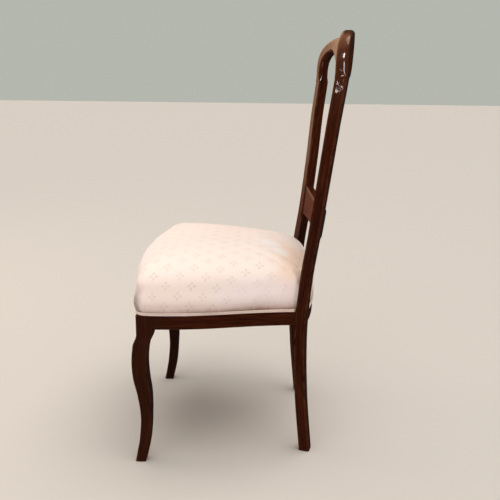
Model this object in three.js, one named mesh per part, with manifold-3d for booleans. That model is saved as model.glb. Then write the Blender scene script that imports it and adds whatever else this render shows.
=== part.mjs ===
// A balloon back dining chair: mahogany frame, stuffed seat on webbing.
// Millimetres, +Z up. The sitter faces -Y and has the left side on +X.
// The frame joints are mortises and tenons, the crest rail is dowelled on the back posts.
import * as THREE from 'three';
import { mergeVertices } from 'three/addons/utils/BufferGeometryUtils.js';
import Module from 'manifold-3d';

const wasm = await Module();
wasm.setup();

// Fits
const clearance = 0.3;
const overrun = 5;
const weldStep = 1e-4;

// Seat plan: half widths and depths from the centre of the seat
const frontHalfWidth = 226;
const frontDepth = 197;
const frontBowDepth = 24;
const sideBellyDepth = 3.6;
const sideSwellDepth = 3.2;
const seatFallHeight = 7.6;

// Seat rails
const railBottomHeight = 311;
const showHeight = 30;
const tackHeight = 25;
const railThickness = 24;
const backRailThickness = 17;
const railArrisRadius = 1.6;
const tenonThickness = 8;
const tenonShoulderHeight = 8;
const frontTenonLength = 20;
const sideTenonLength = 13;
const sideTenonPostLength = 7;
const sideTenonOutWidth = 2.5;
const backTenonLength = 8;
const backTenonForwardDepth = 2.6;

// Front legs
const legBlockWidth = 34;
const legArrisRadius = 3;
const legCurveHeight = 304;
const footSize = 22;
const ankleThickness = 23.4;
const kneeThickness = 31.4;
const footReachDepth = 20;
const ankleReachDepth = 4.6;
const kneeReachDepth = 12.3;
const kneeSpreadWidth = 4;
const footTuckWidth = 10;

// Back posts: the back leg and the upright in one piece
const postHeight = 800;
const postWidth = 28;
const postDepth = 23.5;
const postFootSize = 24;
const postArrisRadius = 3.6;
const postTurn = THREE.MathUtils.degToRad(15);
const postFootHalfWidth = 142;
const postShoulderHalfWidth = 216.5;
const postNearestDepth = 138;
const postShoulderDepth = 193.5;

// Crest rail
const crestHeight = 94;
const crestDipDepth = 7;
const crestDipHalfWidth = 105;
const crestUndersideHeight = 68;
const crestDropDepth = 68;
const crestDropHalfWidth = 116;
const crestArrisRadius = 8;
const dowelRadius = 4;
const dowelLength = 50;

// Cross rail between the posts
const crossThickness = 18;
const crossOverBorderHeight = 95;
const crossEndHeight = 72;
const crossMiddleHeight = 58;
const crossSagDepth = 13;
const crossPendantDepth = 28;
const crossPendantHalfWidth = 46;
const crossArrisRadius = 3;
const crossTenonShoulderHeight = 13;
const crossTenonLength = 14;

// Corner blocks and their screws
const blockLength = 52;
const blockHeight = 36;
const screwRadius = 2;
const screwHeadRadius = 4;
const screwHeadHeight = 2.6;
const screwLength = 32;
const screwHeadDepth = 16;

// Upholstery
const coverThickness = 4;
const borderHeight = 44;
const borderSwellDepth = 8;
const crownHeight = 76;
const crownFallHeight = 13;
const crownFallLength = 200;
const crownForwardDepth = 51;
const seatCornerRadius = 20;
const weltHeight = 6;
const weltThickness = 2.8;
const strapWidth = 50;
const strapThickness = 1.5;
const strapSpacing = 92;
const strapMiddleOffset = -20;
const strapEndInsetLength = 3;
const clothThickness = 1;

// Shapes as shares of the sizes above
const postLevelShares = [0, 0.18, 0.36, 0.5, 0.625, 0.775, 0.9, 1, 1.05];
const postSpreadShares = [0, 0.09, 0.215, 0.285, 0.31, 0.52, 0.845, 0.99, 1.01];
const postBackShares = [0.333, 0.09, 0, 0.13, 0.378, 0.63, 0.815, 1, 1.06];
const postShinShare = 0.36;
const legLevelShares = [0, 0.09, 0.185, 0.355, 0.525, 0.66, 0.79, 0.905, 1];
const legReachShares = {
  foot: [1, 0.61, 0.27, 0, 0.05, 0, 0, 0, 0],
  ankle: [0, 0.39, 0.73, 1, 0, 0, 0, 0, 0],
  knee: [0, 0, 0, 0, 0.41, 0.89, 1, 0.71, 0.12],
};
const legGirthShares = {
  foot: [1, 0.29, 0.14, 0, 0, 0, 0, 0, 0],
  ankle: [0, 0.71, 0.86, 1, 0.41, 0.04, 0, 0, 0],
  knee: [0, 0, 0, 0, 0.59, 0.96, 1, 0.82, 0],
  block: [0, 0, 0, 0, 0, 0, 0, 0.18, 1],
};
const legSpreadShares = {
  knee: [0, 0, 0, 0, 0, 0.55, 1, 0.7, 0.1],
  foot: [-1, -1.05, -1.08, -0.92, -0.4, -0.08, 0, 0, 0],
};
const borderLevelShares = [0, 0.15, 0.27, 0.45, 0.78, 1];
const borderSwellShares = [0, 0, 0.6, 0.96, 0.71, 0.05];
const rearSwellShare = 0.1;
const frontScrewShares = { side: 0.4, end: 0.5 };
const rearScrewShares = { side: 0.62, end: 0.62 };
const crestRoundShare = 3.8;
const crestUndersideRoundShare = 3.8;
const crownTiltShare = 0.02;
const crownRoundShares = { plan: 3.05, height: 2.95 };

// How finely the curves are drawn
const steps = {
  leg: 17, post: 30, rail: 18, cross: 36, crest: 60, block: 4, corner: 4, outline: 8, welt: 14,
  crown: 8, lining: 5, screw: 12, dowel: 16, scribe: 6,
};

// Levels and faces that follow
const showTop = railBottomHeight + showHeight;
const railTop = showTop + tackHeight;
const rebate = coverThickness + 2 * clearance;
const legInner = frontHalfWidth - legBlockWidth;
const legBack = -frontDepth + legBlockWidth;
const crestInnerHalf = postShoulderHalfWidth - postWidth * Math.cos(postTurn) / 2;
const crestOuterHalf = postShoulderHalfWidth + postWidth * Math.cos(postTurn) / 2;
const postRise = postShoulderDepth - postNearestDepth;
const backRailFace = postDepth / 2 - postArrisRadius;
const seatLevel = railBottomHeight + showHeight;
const borderTop = showTop + borderHeight;
const crossEndBottom = borderTop + crossOverBorderHeight;
const crossEndTop = crossEndBottom + crossEndHeight;
const crossMiddleTop = crossEndBottom - crossSagDepth + crossMiddleHeight;
const tenonBottom = railBottomHeight + tenonShoulderHeight;
const tenonTop = railTop - tenonShoulderHeight;
const blockBottom = (railBottomHeight + railTop - blockHeight) / 2;
const clothBottom = railTop + 2 * strapThickness + 3 * clearance;
const stuffingBottom = clothBottom + clothThickness + clearance;

const wood = { color: 0x4a2213, roughness: 0.34, metalness: 0 };
const fabric = { color: 0xeae0cf, roughness: 0.86, metalness: 0 };
const jute = { color: 0xa98e62, roughness: 0.95, metalness: 0 };
const steel = { color: 0x8d8a84, roughness: 0.42, metalness: 1 };

// A smooth value between given levels
function smooth(levels, values) {
  const slopes = values.map((value, i) => {
    const low = Math.max(i - 1, 0);
    const high = Math.min(i + 1, values.length - 1);
    return (values[high] - values[low]) / (levels[high] - levels[low]);
  });
  return (level) => {
    let i = 0;
    while (i < levels.length - 2 && level > levels[i + 1]) i += 1;
    const span = levels[i + 1] - levels[i];
    const t = THREE.MathUtils.clamp((level - levels[i]) / span, 0, 1);
    const rise = t * t * (3 - 2 * t);
    const leave = t * (1 - t) * (1 - t);
    const arrive = t * t * (t - 1);
    const bend = span * (slopes[i] * leave + slopes[i + 1] * arrive);
    return values[i] + (values[i + 1] - values[i]) * rise + bend;
  };
}

// A value between given levels, along straight lines
function straight(levels, values) {
  return (level) => {
    const after = levels.findIndex((height) => height >= level);
    const i = Math.max(after < 0 ? levels.length - 1 : after, 1);
    return THREE.MathUtils.mapLinear(level, levels[i - 1], levels[i], values[i - 1], values[i]);
  };
}

function series(count, from, to) {
  return Array.from({ length: count + 1 }, (_, i) => from + (to - from) * i / count);
}

// Triangles that fill a flat loop, each turned the way the loop runs
function filled(loop) {
  return THREE.ShapeUtils.triangulateShape(loop, []).map((face) => face.sort((a, b) => a - b));
}

// A solid through rings of points, each ring in the same order, with flat ends
function loft(rings, endShape) {
  const size = rings[0].length;
  const ends = filled(endShape);
  const last = (rings.length - 1) * size;
  const index = [];
  for (let r = 0; r + 1 < rings.length; r += 1) {
    for (let i = 0; i < size; i += 1) {
      const a = r * size + i;
      const b = r * size + (i + 1) % size;
      index.push(a, b, b + size, a, b + size, a + size);
    }
  }
  ends.forEach(([a, b, c]) => {
    index.push(a, c, b);
    index.push(last + a, last + b, last + c);
  });
  return solid(rings.flat(), index);
}

// A closed geometry with its faces pointing out
function solid(points, index) {
  const geometry = new THREE.BufferGeometry().setFromPoints(points);
  let volume = 0;
  for (let i = 0; i < index.length; i += 3) {
    volume += points[index[i]].dot(points[index[i + 1]].clone().cross(points[index[i + 2]]));
  }
  const turned = [];
  for (let i = 0; i < index.length; i += 3) turned.push(index[i], index[i + 2], index[i + 1]);
  geometry.setIndex(volume > 0 ? index : turned);
  geometry.computeVertexNormals();
  return geometry;
}

function roundedSection(width, depth, radius) {
  const corners = [[1, 1], [-1, 1], [-1, -1], [1, -1]];
  return corners.flatMap(([x, y], corner) => [0, 1, 2].map((step) => {
    const angle = (corner + step / 2) * Math.PI / 2;
    return new THREE.Vector2(
      x * (width / 2 - radius) + radius * Math.cos(angle),
      y * (depth / 2 - radius) + radius * Math.sin(angle),
    );
  }));
}

function box(x0, x1, y0, y1, z0, z1) {
  const geometry = new THREE.BoxGeometry(x1 - x0, y1 - y0, z1 - z0);
  return geometry.translate((x0 + x1) / 2, (y0 + y1) / 2, (z0 + z1) / 2);
}

// The same shape for the other side of the chair
function mirrored(geometry) {
  const copy = (geometry.index ? geometry : mergeVertices(geometry)).clone().scale(-1, 1, 1);
  const order = Array.from(copy.index.array);
  for (let i = 0; i < order.length; i += 3) [order[i], order[i + 1]] = [order[i + 1], order[i]];
  copy.setIndex(order);
  copy.computeVertexNormals();
  return copy;
}

// Joining and cutting solids
function toManifold(geometry) {
  const bare = geometry.clone();
  bare.deleteAttribute('normal');
  bare.deleteAttribute('uv');
  const merged = mergeVertices(bare, weldStep);
  return new wasm.Manifold(new wasm.Mesh({
    numProp: 3,
    vertProperties: new Float32Array(merged.attributes.position.array),
    triVerts: new Uint32Array(merged.index.array),
  }));
}

function toGeometry(manifold) {
  const mesh = manifold.getMesh();
  const geometry = new THREE.BufferGeometry();
  geometry.setAttribute('position', new THREE.BufferAttribute(new Float32Array(mesh.vertProperties), 3));
  geometry.setIndex(Array.from(mesh.triVerts));
  geometry.computeVertexNormals();
  return geometry;
}

function cut(geometry, ...tools) {
  return toGeometry(tools.reduce((body, tool) => body.subtract(toManifold(tool)), toManifold(geometry)));
}

function join(geometry, ...others) {
  return toGeometry(others.reduce((body, other) => body.add(toManifold(other)), toManifold(geometry)));
}

// Plan of the seat
function frontFace(x) {
  const share = Math.min(Math.abs(x) / legInner, 1);
  return -frontDepth - frontBowDepth * (1 - share * share);
}

function seatDrop(y) {
  return seatFallHeight * (y + frontDepth) / (frontDepth + postShoulderDepth);
}

function lowered(geometry) {
  const position = geometry.attributes.position;
  for (let i = 0; i < position.count; i += 1) position.setZ(i, position.getZ(i) - seatDrop(position.getY(i)));
  geometry.computeVertexNormals();
  return geometry;
}

// Centre line of a back post, and the bowed plane that the back follows
const postLevels = postLevelShares.map((share) => share * postHeight);
const postSpread = smooth(postLevels, postSpreadShares.map(
  (share) => postFootHalfWidth + share * (postShoulderHalfWidth - postFootHalfWidth),
));
const postBackRise = smooth(postLevels, postBackShares.map((share) => postNearestDepth + share * postRise));

function backPlane(x, z, offset, height = z) {
  const level = Math.min(z, postHeight);
  const half = postSpread(level);
  const slope = Math.tan(postTurn) * x / half;
  const bow = Math.tan(postTurn) * half / 2;
  const length = Math.hypot(slope, 1);
  return new THREE.Vector3(
    x + offset * slope / length,
    postBackRise(level) + bow * (1 - (x / half) ** 2) + offset / length,
    height,
  );
}

// Across the post at a level: out along its width, back along its depth
function postPoint(z, out, back, height = z) {
  return new THREE.Vector3(
    postSpread(z) + out * Math.cos(postTurn) + back * Math.sin(postTurn),
    postBackRise(z) - out * Math.sin(postTurn) + back * Math.cos(postTurn),
    height,
  );
}

const sideRear = postPoint(seatLevel, postWidth / 2 - railArrisRadius, -postDepth / 2);

function sideFace(y) {
  const share = THREE.MathUtils.clamp((y - legBack) / (sideRear.y - legBack), 0, 1);
  const line = THREE.MathUtils.lerp(frontHalfWidth, sideRear.x, share);
  return line + sideBellyDepth * Math.sin(Math.PI * share) + sideSwellDepth * Math.sin(2 * Math.PI * share);
}

// Sums of named sizes, each by its own row of shares
function blended(shares, sizes) {
  const keys = Object.keys(sizes);
  return legLevelShares.map((_, i) => keys.reduce((sum, key) => sum + shares[key][i] * sizes[key], 0));
}

// Front leg, in place at the left corner
function frontLeg() {
  const levels = legLevelShares.map((share) => share * legCurveHeight);
  const reach = smooth(levels, blended(legReachShares,
    { foot: footReachDepth, ankle: ankleReachDepth, knee: kneeReachDepth }));
  const spread = smooth(levels, blended(legSpreadShares, { knee: kneeSpreadWidth, foot: footTuckWidth }));
  const girth = smooth(levels, blended(legGirthShares,
    { foot: footSize, ankle: ankleThickness, knee: kneeThickness, block: legBlockWidth }));
  const centreX = frontHalfWidth - legBlockWidth / 2;
  const centreY = -frontDepth + legBlockWidth / 2;
  const heights = [...series(steps.leg, 0, legCurveHeight), railTop + overrun];
  const rings = heights.map((z) => {
    const curve = z > legCurveHeight ? 0 : 1 - legLevelWeight(z);
    const size = z > legCurveHeight ? legBlockWidth : girth(z);
    const x = centreX + spread(z) * curve;
    const y = centreY - reach(z) * curve;
    return roundedSection(size, size, legArrisRadius * size / legBlockWidth)
      .map((p) => new THREE.Vector3(x + p.x, y + p.y, z));
  });
  return loft(rings, roundedSection(legBlockWidth, legBlockWidth, legArrisRadius));
}

// The shoulder round a leg's top, which the cover is drawn down to
function legRebate() {
  const above = aroundLeg(showTop, railTop + 2 * overrun);
  const kept = new THREE.ExtrudeGeometry(new THREE.Shape(seatOutline(rebate, 0)), {
    depth: tackHeight + 4 * overrun,
    bevelEnabled: false,
  });
  return lowered(cut(above, kept.translate(0, 0, showTop - overrun)));
}

function legTop() {
  return lowered(aroundLeg(railTop, railTop + 2 * overrun));
}

function aroundLeg(z0, z1) {
  return box(legInner - overrun, frontHalfWidth + overrun, -frontDepth - overrun, legBack + overrun, z0, z1);
}

// Fades the curve of the leg out where it runs into the square block
function legLevelWeight(z) {
  const start = legLevelShares[7] * legCurveHeight;
  return THREE.MathUtils.smoothstep(z, start, legCurveHeight);
}

function backPost(grow = 0) {
  const rings = series(steps.post, 0, postHeight).map((z) => {
    const blend = Math.min(z / (postShinShare * postHeight), 1);
    const width = THREE.MathUtils.lerp(postFootSize, postWidth, blend) + 2 * grow;
    const depth = THREE.MathUtils.lerp(postFootSize, postDepth, blend) + 2 * grow;
    return roundedSection(width, depth, postArrisRadius).map((p) => postPoint(z, p.x, p.y));
  });
  return loft(rings, roundedSection(postWidth, postDepth, postArrisRadius));
}

// Section of a seat rail: show wood below, tacking edge above, from outside in
function railSection(thickness) {
  return [
    [0, railBottomHeight + railArrisRadius],
    [0, showTop - railArrisRadius],
    [railArrisRadius, showTop],
    [rebate, showTop],
    [rebate, railTop],
    [thickness, railTop],
    [thickness, railBottomHeight],
    [railArrisRadius, railBottomHeight],
  ];
}

function railSolid(thickness, stations, place) {
  const section = railSection(thickness);
  const shape = section.map(([inward, z]) => new THREE.Vector2(inward, z));
  return loft(stations.map((s) => section.map(([inward, z]) => place(s, inward, z))), shape);
}

function frontRail() {
  const end = legInner - clearance;
  const body = railSolid(railThickness, series(steps.rail, -end, end),
    (x, inward, z) => new THREE.Vector3(x, frontFace(x) + inward, z));
  return join(lowered(body), frontTenon(0), mirrored(frontTenon(0)));
}

function frontTenon(grow) {
  const middle = -frontDepth + railThickness / 2 + clearance;
  const half = tenonThickness / 2 + grow;
  return box(legInner - overrun, legInner + frontTenonLength - clearance + grow, middle - half, middle + half,
    tenonBottom - grow, tenonTop + grow);
}

function sideFrontTenon(grow) {
  const middle = frontHalfWidth - legBlockWidth / 2;
  const half = tenonThickness / 2 + grow;
  return box(middle - half, middle + half, legBack - sideTenonLength - grow, legBack + overrun,
    tenonBottom - grow, tenonTop + grow);
}

function sideRearTenon(grow) {
  const face = postPoint(seatLevel, sideTenonOutWidth, -postDepth / 2);
  const half = tenonThickness / 2 + grow;
  const bottom = tenonBottom - grow - seatDrop(face.y);
  const top = tenonTop + grow - seatDrop(face.y);
  const start = face.y - overrun - tenonShoulderHeight;
  return box(face.x - half, face.x + half, start, face.y + sideTenonPostLength + grow, bottom, top);
}

// All that lies further back than the front sixth of a post, at seat level
function behindPost() {
  const size = postWidth + 2 * postDepth;
  const centre = postPoint(seatLevel, 0, size / 2 - postDepth / 3);
  const block = new THREE.BoxGeometry(2 * size, size, railTop);
  return block.rotateZ(-postTurn).translate(centre.x, centre.y, railTop);
}

function sideRail() {
  const body = railSolid(railThickness, series(steps.rail, legBack + clearance, sideRear.y + postDepth),
    (y, inward, z) => new THREE.Vector3(sideFace(y) - inward, y, z));
  return join(cut(lowered(body), backPost(clearance), behindPost()), sideFrontTenon(0), sideRearTenon(0));
}

function backTenon(grow) {
  const height = tenonTop - tenonBottom + 2 * grow;
  const length = backTenonLength + overrun + grow;
  const geometry = new THREE.BoxGeometry(length, tenonThickness + 2 * grow, height);
  const out = -postWidth / 2 + backTenonLength + grow - length / 2;
  const centre = postPoint(seatLevel, out, -backTenonForwardDepth);
  geometry.rotateZ(-postTurn);
  return geometry.translate(centre.x, centre.y, (tenonBottom + tenonTop) / 2 - seatDrop(centre.y));
}

function backRail() {
  const half = postSpread(seatLevel) - postWidth / 2 + clearance;
  const body = railSolid(backRailThickness, series(steps.rail, -half, half),
    (x, inward, z) => backPlane(x, seatLevel, backRailFace - inward, z));
  return join(cut(lowered(body), backPost(clearance), mirrored(backPost(clearance))),
    backTenon(0), mirrored(backTenon(0)));
}

// A smooth hump of height one, fading to nothing at its half width
function hump(x, halfWidth) {
  return (1 + Math.cos(Math.PI * Math.min(Math.abs(x) / halfWidth, 1))) / 2;
}

// Cross rail: bowed like the back, hollow along its top, with a pendant under its middle
function crossTop(x, half) {
  return crossMiddleTop + (crossEndTop - crossMiddleTop) * (x / half) ** 2;
}

function crossBottom(x, half) {
  const pendant = crossPendantDepth * hump(x, crossPendantHalfWidth);
  return crossEndBottom - crossSagDepth * hump(x, half) - pendant;
}

function crossTenon(grow) {
  const middle = (crossEndBottom + crossEndTop) / 2;
  const length = crossTenonLength + overrun + grow;
  const height = crossEndHeight - 2 * crossTenonShoulderHeight + 2 * grow;
  const geometry = new THREE.BoxGeometry(length, tenonThickness + 2 * grow, height);
  const centre = postPoint(middle, -postWidth / 2 + crossTenonLength + grow - length / 2, 0);
  return geometry.rotateZ(-postTurn).translate(centre.x, centre.y, middle);
}

function crossRail() {
  const half = postSpread((crossEndBottom + crossEndTop) / 2);
  const rings = series(steps.cross, -half, half).map((x) => {
    const low = crossBottom(x, half);
    const high = crossTop(x, half);
    return roundedSection(high - low, crossThickness, crossArrisRadius)
      .map((p) => backPlane(x, (low + high) / 2 + p.x, p.y));
  });
  const end = roundedSection(crossEndHeight, crossThickness, crossArrisRadius);
  const body = cut(loft(rings, end), backPost(clearance), mirrored(backPost(clearance)));
  return join(body, crossTenon(0), mirrored(crossTenon(0)));
}

// Crest rail: a round-shouldered arch, dipped in the middle of its top, with a drop below
function archPoint(angle, half, rise, round) {
  const x = Math.cos(angle);
  const z = Math.max(Math.sin(angle), 0);
  const reach = (Math.abs(x) ** round + z ** round) ** (-1 / round);
  return new THREE.Vector2(half * x * reach, postHeight + rise * z * reach);
}

function crestRail() {
  const angles = series(steps.crest, 0, Math.PI);
  const rings = angles.map((angle, i) => {
    const atEnd = i === 0 || i === steps.crest;
    const outer = archPoint(angle, crestOuterHalf, crestHeight, crestRoundShare);
    const inner = archPoint(angle, crestInnerHalf, crestUndersideHeight, crestUndersideRoundShare);
    outer.y -= crestDipDepth * hump(outer.x, crestDipHalfWidth);
    inner.y -= crestDropDepth * hump(inner.x, crestDropHalfWidth);
    if (atEnd) [outer, inner].forEach((p) => p.setY(postHeight));
    const middle = outer.clone().add(inner).divideScalar(2);
    const across = outer.clone().sub(inner);
    const width = across.length();
    across.normalize();
    return roundedSection(width, postDepth, atEnd ? postArrisRadius : crestArrisRadius)
      .map((p) => backPlane(middle.x + across.x * p.x, middle.y + across.y * p.x, p.y));
  });
  return loft(rings, roundedSection(postWidth, postDepth, postArrisRadius));
}

function dowelPlace() {
  const foot = postPoint(postHeight - dowelLength / 2, 0, 0);
  const top = backPlane(postShoulderHalfWidth, postHeight + dowelLength / 2, 0);
  return { middle: foot.clone().add(top).divideScalar(2), direction: top.sub(foot).normalize() };
}

function dowel(grow) {
  const radius = dowelRadius + grow;
  return new THREE.CylinderGeometry(radius, radius, dowelLength + 2 * grow, steps.dowel).rotateX(Math.PI / 2);
}

function dowelHole() {
  const { middle, direction } = dowelPlace();
  const turn = new THREE.Quaternion().setFromUnitVectors(new THREE.Vector3(0, 0, 1), direction);
  return dowel(clearance).applyQuaternion(turn).translate(middle.x, middle.y, middle.z);
}

// Corner blocks: glued into the corners of the seat frame and screwed to both rails
function blockGeometry(outline) {
  const shape = new THREE.Shape(outline);
  const geometry = new THREE.ExtrudeGeometry(shape, { depth: blockHeight, bevelEnabled: false });
  return geometry.translate(0, 0, blockBottom);
}


function frontBlockOutline() {
  const inner = (x) => frontFace(x) + railThickness + clearance;
  const side = (y) => sideFace(y) - railThickness - clearance;
  const x0 = legInner - clearance - blockLength;
  const y0 = legBack + clearance;
  const y1 = y0 + blockLength - (legBack + frontDepth - railThickness);
  return [
    ...series(steps.block, x0, legInner - clearance).map((x) => new THREE.Vector2(x, inner(x))),
    new THREE.Vector2(legInner - clearance, y0),
    ...series(steps.block, y0, y1).map((y) => new THREE.Vector2(side(y), y)),
  ];
}

function backInnerFace(x) {
  return backPlane(x, seatLevel, backRailFace - backRailThickness).y - clearance;
}

function rearBlockOutline() {
  const side = (y) => sideFace(y) - railThickness - clearance;
  let y = sideRear.y;
  for (let i = 0; i < steps.scribe; i += 1) y = backInnerFace(side(y)) - clearance;
  const x1 = side(y) - blockLength;
  return [
    ...series(steps.block, y - blockLength, y).map((v) => new THREE.Vector2(side(v), v)),
    ...series(steps.block, side(y), x1).slice(1)
      .map((x) => new THREE.Vector2(x, backInnerFace(x) - clearance)),
  ];
}

function screw(grow) {
  const shank = screwRadius + grow;
  const head = screwHeadRadius + grow;
  const top = grow > 0 ? blockLength : screwHeadHeight;
  const profile = [[0, -screwLength - grow], [shank / 2, -screwLength - grow], [shank, -screwLength + shank],
    [shank, -grow], [head, -grow], [head, top], [0, top]];
  return new THREE.LatheGeometry(profile.map(([r, y]) => new THREE.Vector2(r, y)), steps.screw);
}

// Each screw runs square to its rail, sunk in the slanting face of its block
function screwPlaces(front) {
  const level = (railBottomHeight + railTop) / 2;
  const inward = front ? 1 : -1;
  const shares = front ? frontScrewShares : rearScrewShares;
  const cornerX = front ? legInner : sideFace(sideRear.y) - railThickness;
  const cornerY = front ? legBack : backInnerFace(cornerX);
  const sideY = cornerY + inward * blockLength * shares.side;
  const endX = cornerX - blockLength * shares.end;
  const endFace = front ? frontFace(endX) + railThickness : backInnerFace(endX);
  return [
    {
      at: new THREE.Vector3(sideFace(sideY) - railThickness - screwHeadDepth, sideY, level),
      direction: new THREE.Vector3(-1, 0, 0),
    },
    {
      at: new THREE.Vector3(endX, endFace + inward * screwHeadDepth, level),
      direction: new THREE.Vector3(0, inward, 0),
    },
  ];
}

function screwTurn(direction) {
  return new THREE.Quaternion().setFromUnitVectors(new THREE.Vector3(0, 1, 0), direction);
}

function screwHoles(front) {
  return screwPlaces(front).map(({ at, direction }) => {
    const sunk = at.z - seatDrop(at.y);
    return screw(clearance).applyQuaternion(screwTurn(direction)).translate(at.x, at.y, sunk);
  });
}

// How much of the border's swell is left at a place: it dies away towards the posts
function swellLeft(y) {
  return 1 - (1 - rearSwellShare) * THREE.MathUtils.smoothstep(y, 0, sideRear.y);
}

// Outline of the upholstery in plan, moved in by an inset and swollen out, one closed loop
function seatOutline(inset, swell) {
  const corner = seatCornerRadius;
  const right = [];
  series(steps.corner + 1, 0, legInner - corner).forEach((x) => right.push([x, frontFace(x)]));
  const cx = frontHalfWidth - corner;
  const cy = -frontDepth + corner;
  series(steps.corner, -Math.PI / 2, 0).forEach((angle) => {
    right.push([cx + corner * Math.cos(angle), cy + corner * Math.sin(angle)]);
  });
  series(steps.outline, legBack, sideRear.y + postDepth / 4).forEach((y) => right.push([sideFace(y), y]));
  const rearOuter = postSpread(seatLevel) - postWidth / 4;
  series(steps.corner, rearOuter, 0).forEach((x) => {
    const p = backPlane(x, seatLevel, backRailFace);
    right.push([p.x, p.y]);
  });
  const left = right.slice(1, -1).reverse().map(([x, y]) => [-x, y]);
  const loop = [...right, ...left].map(([x, y]) => new THREE.Vector2(x, y));
  return loop.map((p, i) => {
    const before = loop[(i + loop.length - 1) % loop.length];
    const after = loop[(i + 1) % loop.length];
    const along = after.clone().sub(before).normalize();
    const offset = swell * swellLeft(p.y) - inset;
    return new THREE.Vector2(p.x + along.y * offset, p.y - along.x * offset);
  });
}

// One skin of the stuffed seat, from its lower edge up to the crown
function seatSkin(inset, bottom, domeSteps) {
  const centre = new THREE.Vector2(0, -crownForwardDepth);
  const swellAt = straight(borderLevelShares, borderSwellShares);
  const start = showTop + clearance;
  const levels = borderLevelShares.map((share) => THREE.MathUtils.lerp(start, borderTop, share));
  const rings = [bottom, ...levels.filter((z) => z > bottom + clearance)].map((z) => {
    const share = (z - levels[0]) / (borderTop - levels[0]);
    return seatOutline(inset, swellAt(share) * borderSwellDepth).map((p) => new THREE.Vector3(p.x, p.y, z));
  });
  const top = seatOutline(inset, borderSwellShares.at(-1) * borderSwellDepth);
  series(domeSteps, 0, Math.PI / 2).slice(1, -1).forEach((angle) => {
    const reach = Math.cos(angle) ** (2 / crownRoundShares.plan);
    const lift = Math.sin(angle) ** (2 / crownRoundShares.height);
    rings.push(top.map((p) => crownPoint(centre.clone().lerp(p, reach), lift, inset)));
  });
  return { rings, pole: crownPoint(centre, 1, inset) };
}

function crownPoint(p, lift, inset) {
  const away = p.y + crownForwardDepth;
  const fall = crownTiltShare * away + crownFallHeight * (away / crownFallLength) ** 2;
  return new THREE.Vector3(p.x, p.y, borderTop + (crownHeight - inset - fall) * lift);
}

function skinFaces(ringCount, size, first, pole, flip) {
  const index = [];
  const face = (a, b, c) => (flip ? index.push(a, c, b) : index.push(a, b, c));
  for (let r = 0; r + 1 < ringCount; r += 1) {
    for (let i = 0; i < size; i += 1) {
      const a = first + r * size + i;
      const b = first + r * size + (i + 1) % size;
      face(a, b, b + size);
      face(a, b + size, a + size);
    }
  }
  const lastRing = first + (ringCount - 1) * size;
  for (let i = 0; i < size; i += 1) face(lastRing + i, lastRing + (i + 1) % size, pole);
  return index;
}

function seatCover() {
  const outer = seatSkin(0, showTop + clearance, steps.crown);
  const inner = seatSkin(coverThickness, showTop + clearance, steps.lining);
  const size = outer.rings[0].length;
  const points = [...outer.rings.flat(), ...inner.rings.flat(), outer.pole, inner.pole];
  const innerFirst = outer.rings.length * size;
  const poles = innerFirst + inner.rings.length * size;
  const index = [
    ...skinFaces(outer.rings.length, size, 0, poles, false),
    ...skinFaces(inner.rings.length, size, innerFirst, poles + 1, true),
  ];
  for (let i = 0; i < size; i += 1) {
    const next = (i + 1) % size;
    index.push(innerFirst + i, innerFirst + next, next, innerFirst + i, next, i);
  }
  return cut(lowered(solid(points, index)), backPost(2 * clearance), mirrored(backPost(2 * clearance)));
}

function seatStuffing() {
  const inset = coverThickness + clearance;
  const skin = seatSkin(inset, stuffingBottom, steps.lining);
  const size = skin.rings[0].length;
  const points = [...skin.rings.flat(), skin.pole];
  const index = skinFaces(skin.rings.length, size, 0, points.length - 1, false);
  const floor = filled(skin.rings[0].map((p) => new THREE.Vector2(p.x, p.y)));
  floor.forEach(([a, b, c]) => index.push(a, c, b));
  return cut(lowered(solid(points, index)), backPost(2 * clearance), mirrored(backPost(2 * clearance)));
}

// Base cloth on the webbing, cut clear of the posts
function baseCloth() {
  const outline = seatOutline(rebate + strapEndInsetLength, 0);
  const shape = new THREE.Shape(outline);
  const geometry = new THREE.ExtrudeGeometry(shape, { depth: clothThickness, bevelEnabled: false });
  const sheet = lowered(geometry.translate(0, 0, clothBottom));
  return cut(sheet, backPost(2 * clearance), mirrored(backPost(2 * clearance)));
}

// Webbing straps, woven over and under each other, tacked on the rails
const strapPlaces = [-1, 0, 1];
const strapEdge = strapWidth / 2 + strapThickness;
const strapSlack = strapSpacing / 2 - strapEdge - strapThickness;

// Every second crossing lifts a strap over the one that it meets
function strapLift(along, first) {
  const lifts = strapPlaces.filter((_, i) => (first + i) % 2 === 0).map((place) => {
    const away = Math.abs(along - place * strapSpacing) - strapEdge;
    return 1 - THREE.MathUtils.smoothstep(away, 0, strapSlack);
  });
  return (strapThickness + clearance) * Math.max(0, ...lifts);
}

function strap(from, to, first, place) {
  const stops = strapPlaces.flatMap((k) => [-1, 1].flatMap((side) => [0, 0.5, 1]
    .map((share) => k * strapSpacing + side * (strapEdge + share * strapSlack)))).sort((a, b) => a - b);
  const alongs = [from, ...stops.filter((s) => s > from + strapThickness && s < to - strapThickness), to];
  const corners = [[-1, 0], [1, 0], [1, 1], [-1, 1]];
  const bottom = railTop + clearance;
  const rings = alongs.map((along) => corners.map(([side, up]) => place(
    along, side * strapWidth / 2, bottom + strapLift(along, first) + up * strapThickness,
  )));
  return lowered(loft(rings, corners.map(([side, up]) => new THREE.Vector2(side, up))));
}

function longStrap(number) {
  const x = (number - 1) * strapSpacing;
  const from = frontFace(x) + rebate + strapEndInsetLength - strapMiddleOffset;
  const rearEdge = backRailFace - rebate - strapEndInsetLength;
  const to = backPlane(Math.abs(x) + strapWidth / 2, seatLevel, rearEdge).y - strapMiddleOffset;
  return strap(from, to, number, (s, side, z) => new THREE.Vector3(x + side, s + strapMiddleOffset, z));
}

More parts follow.
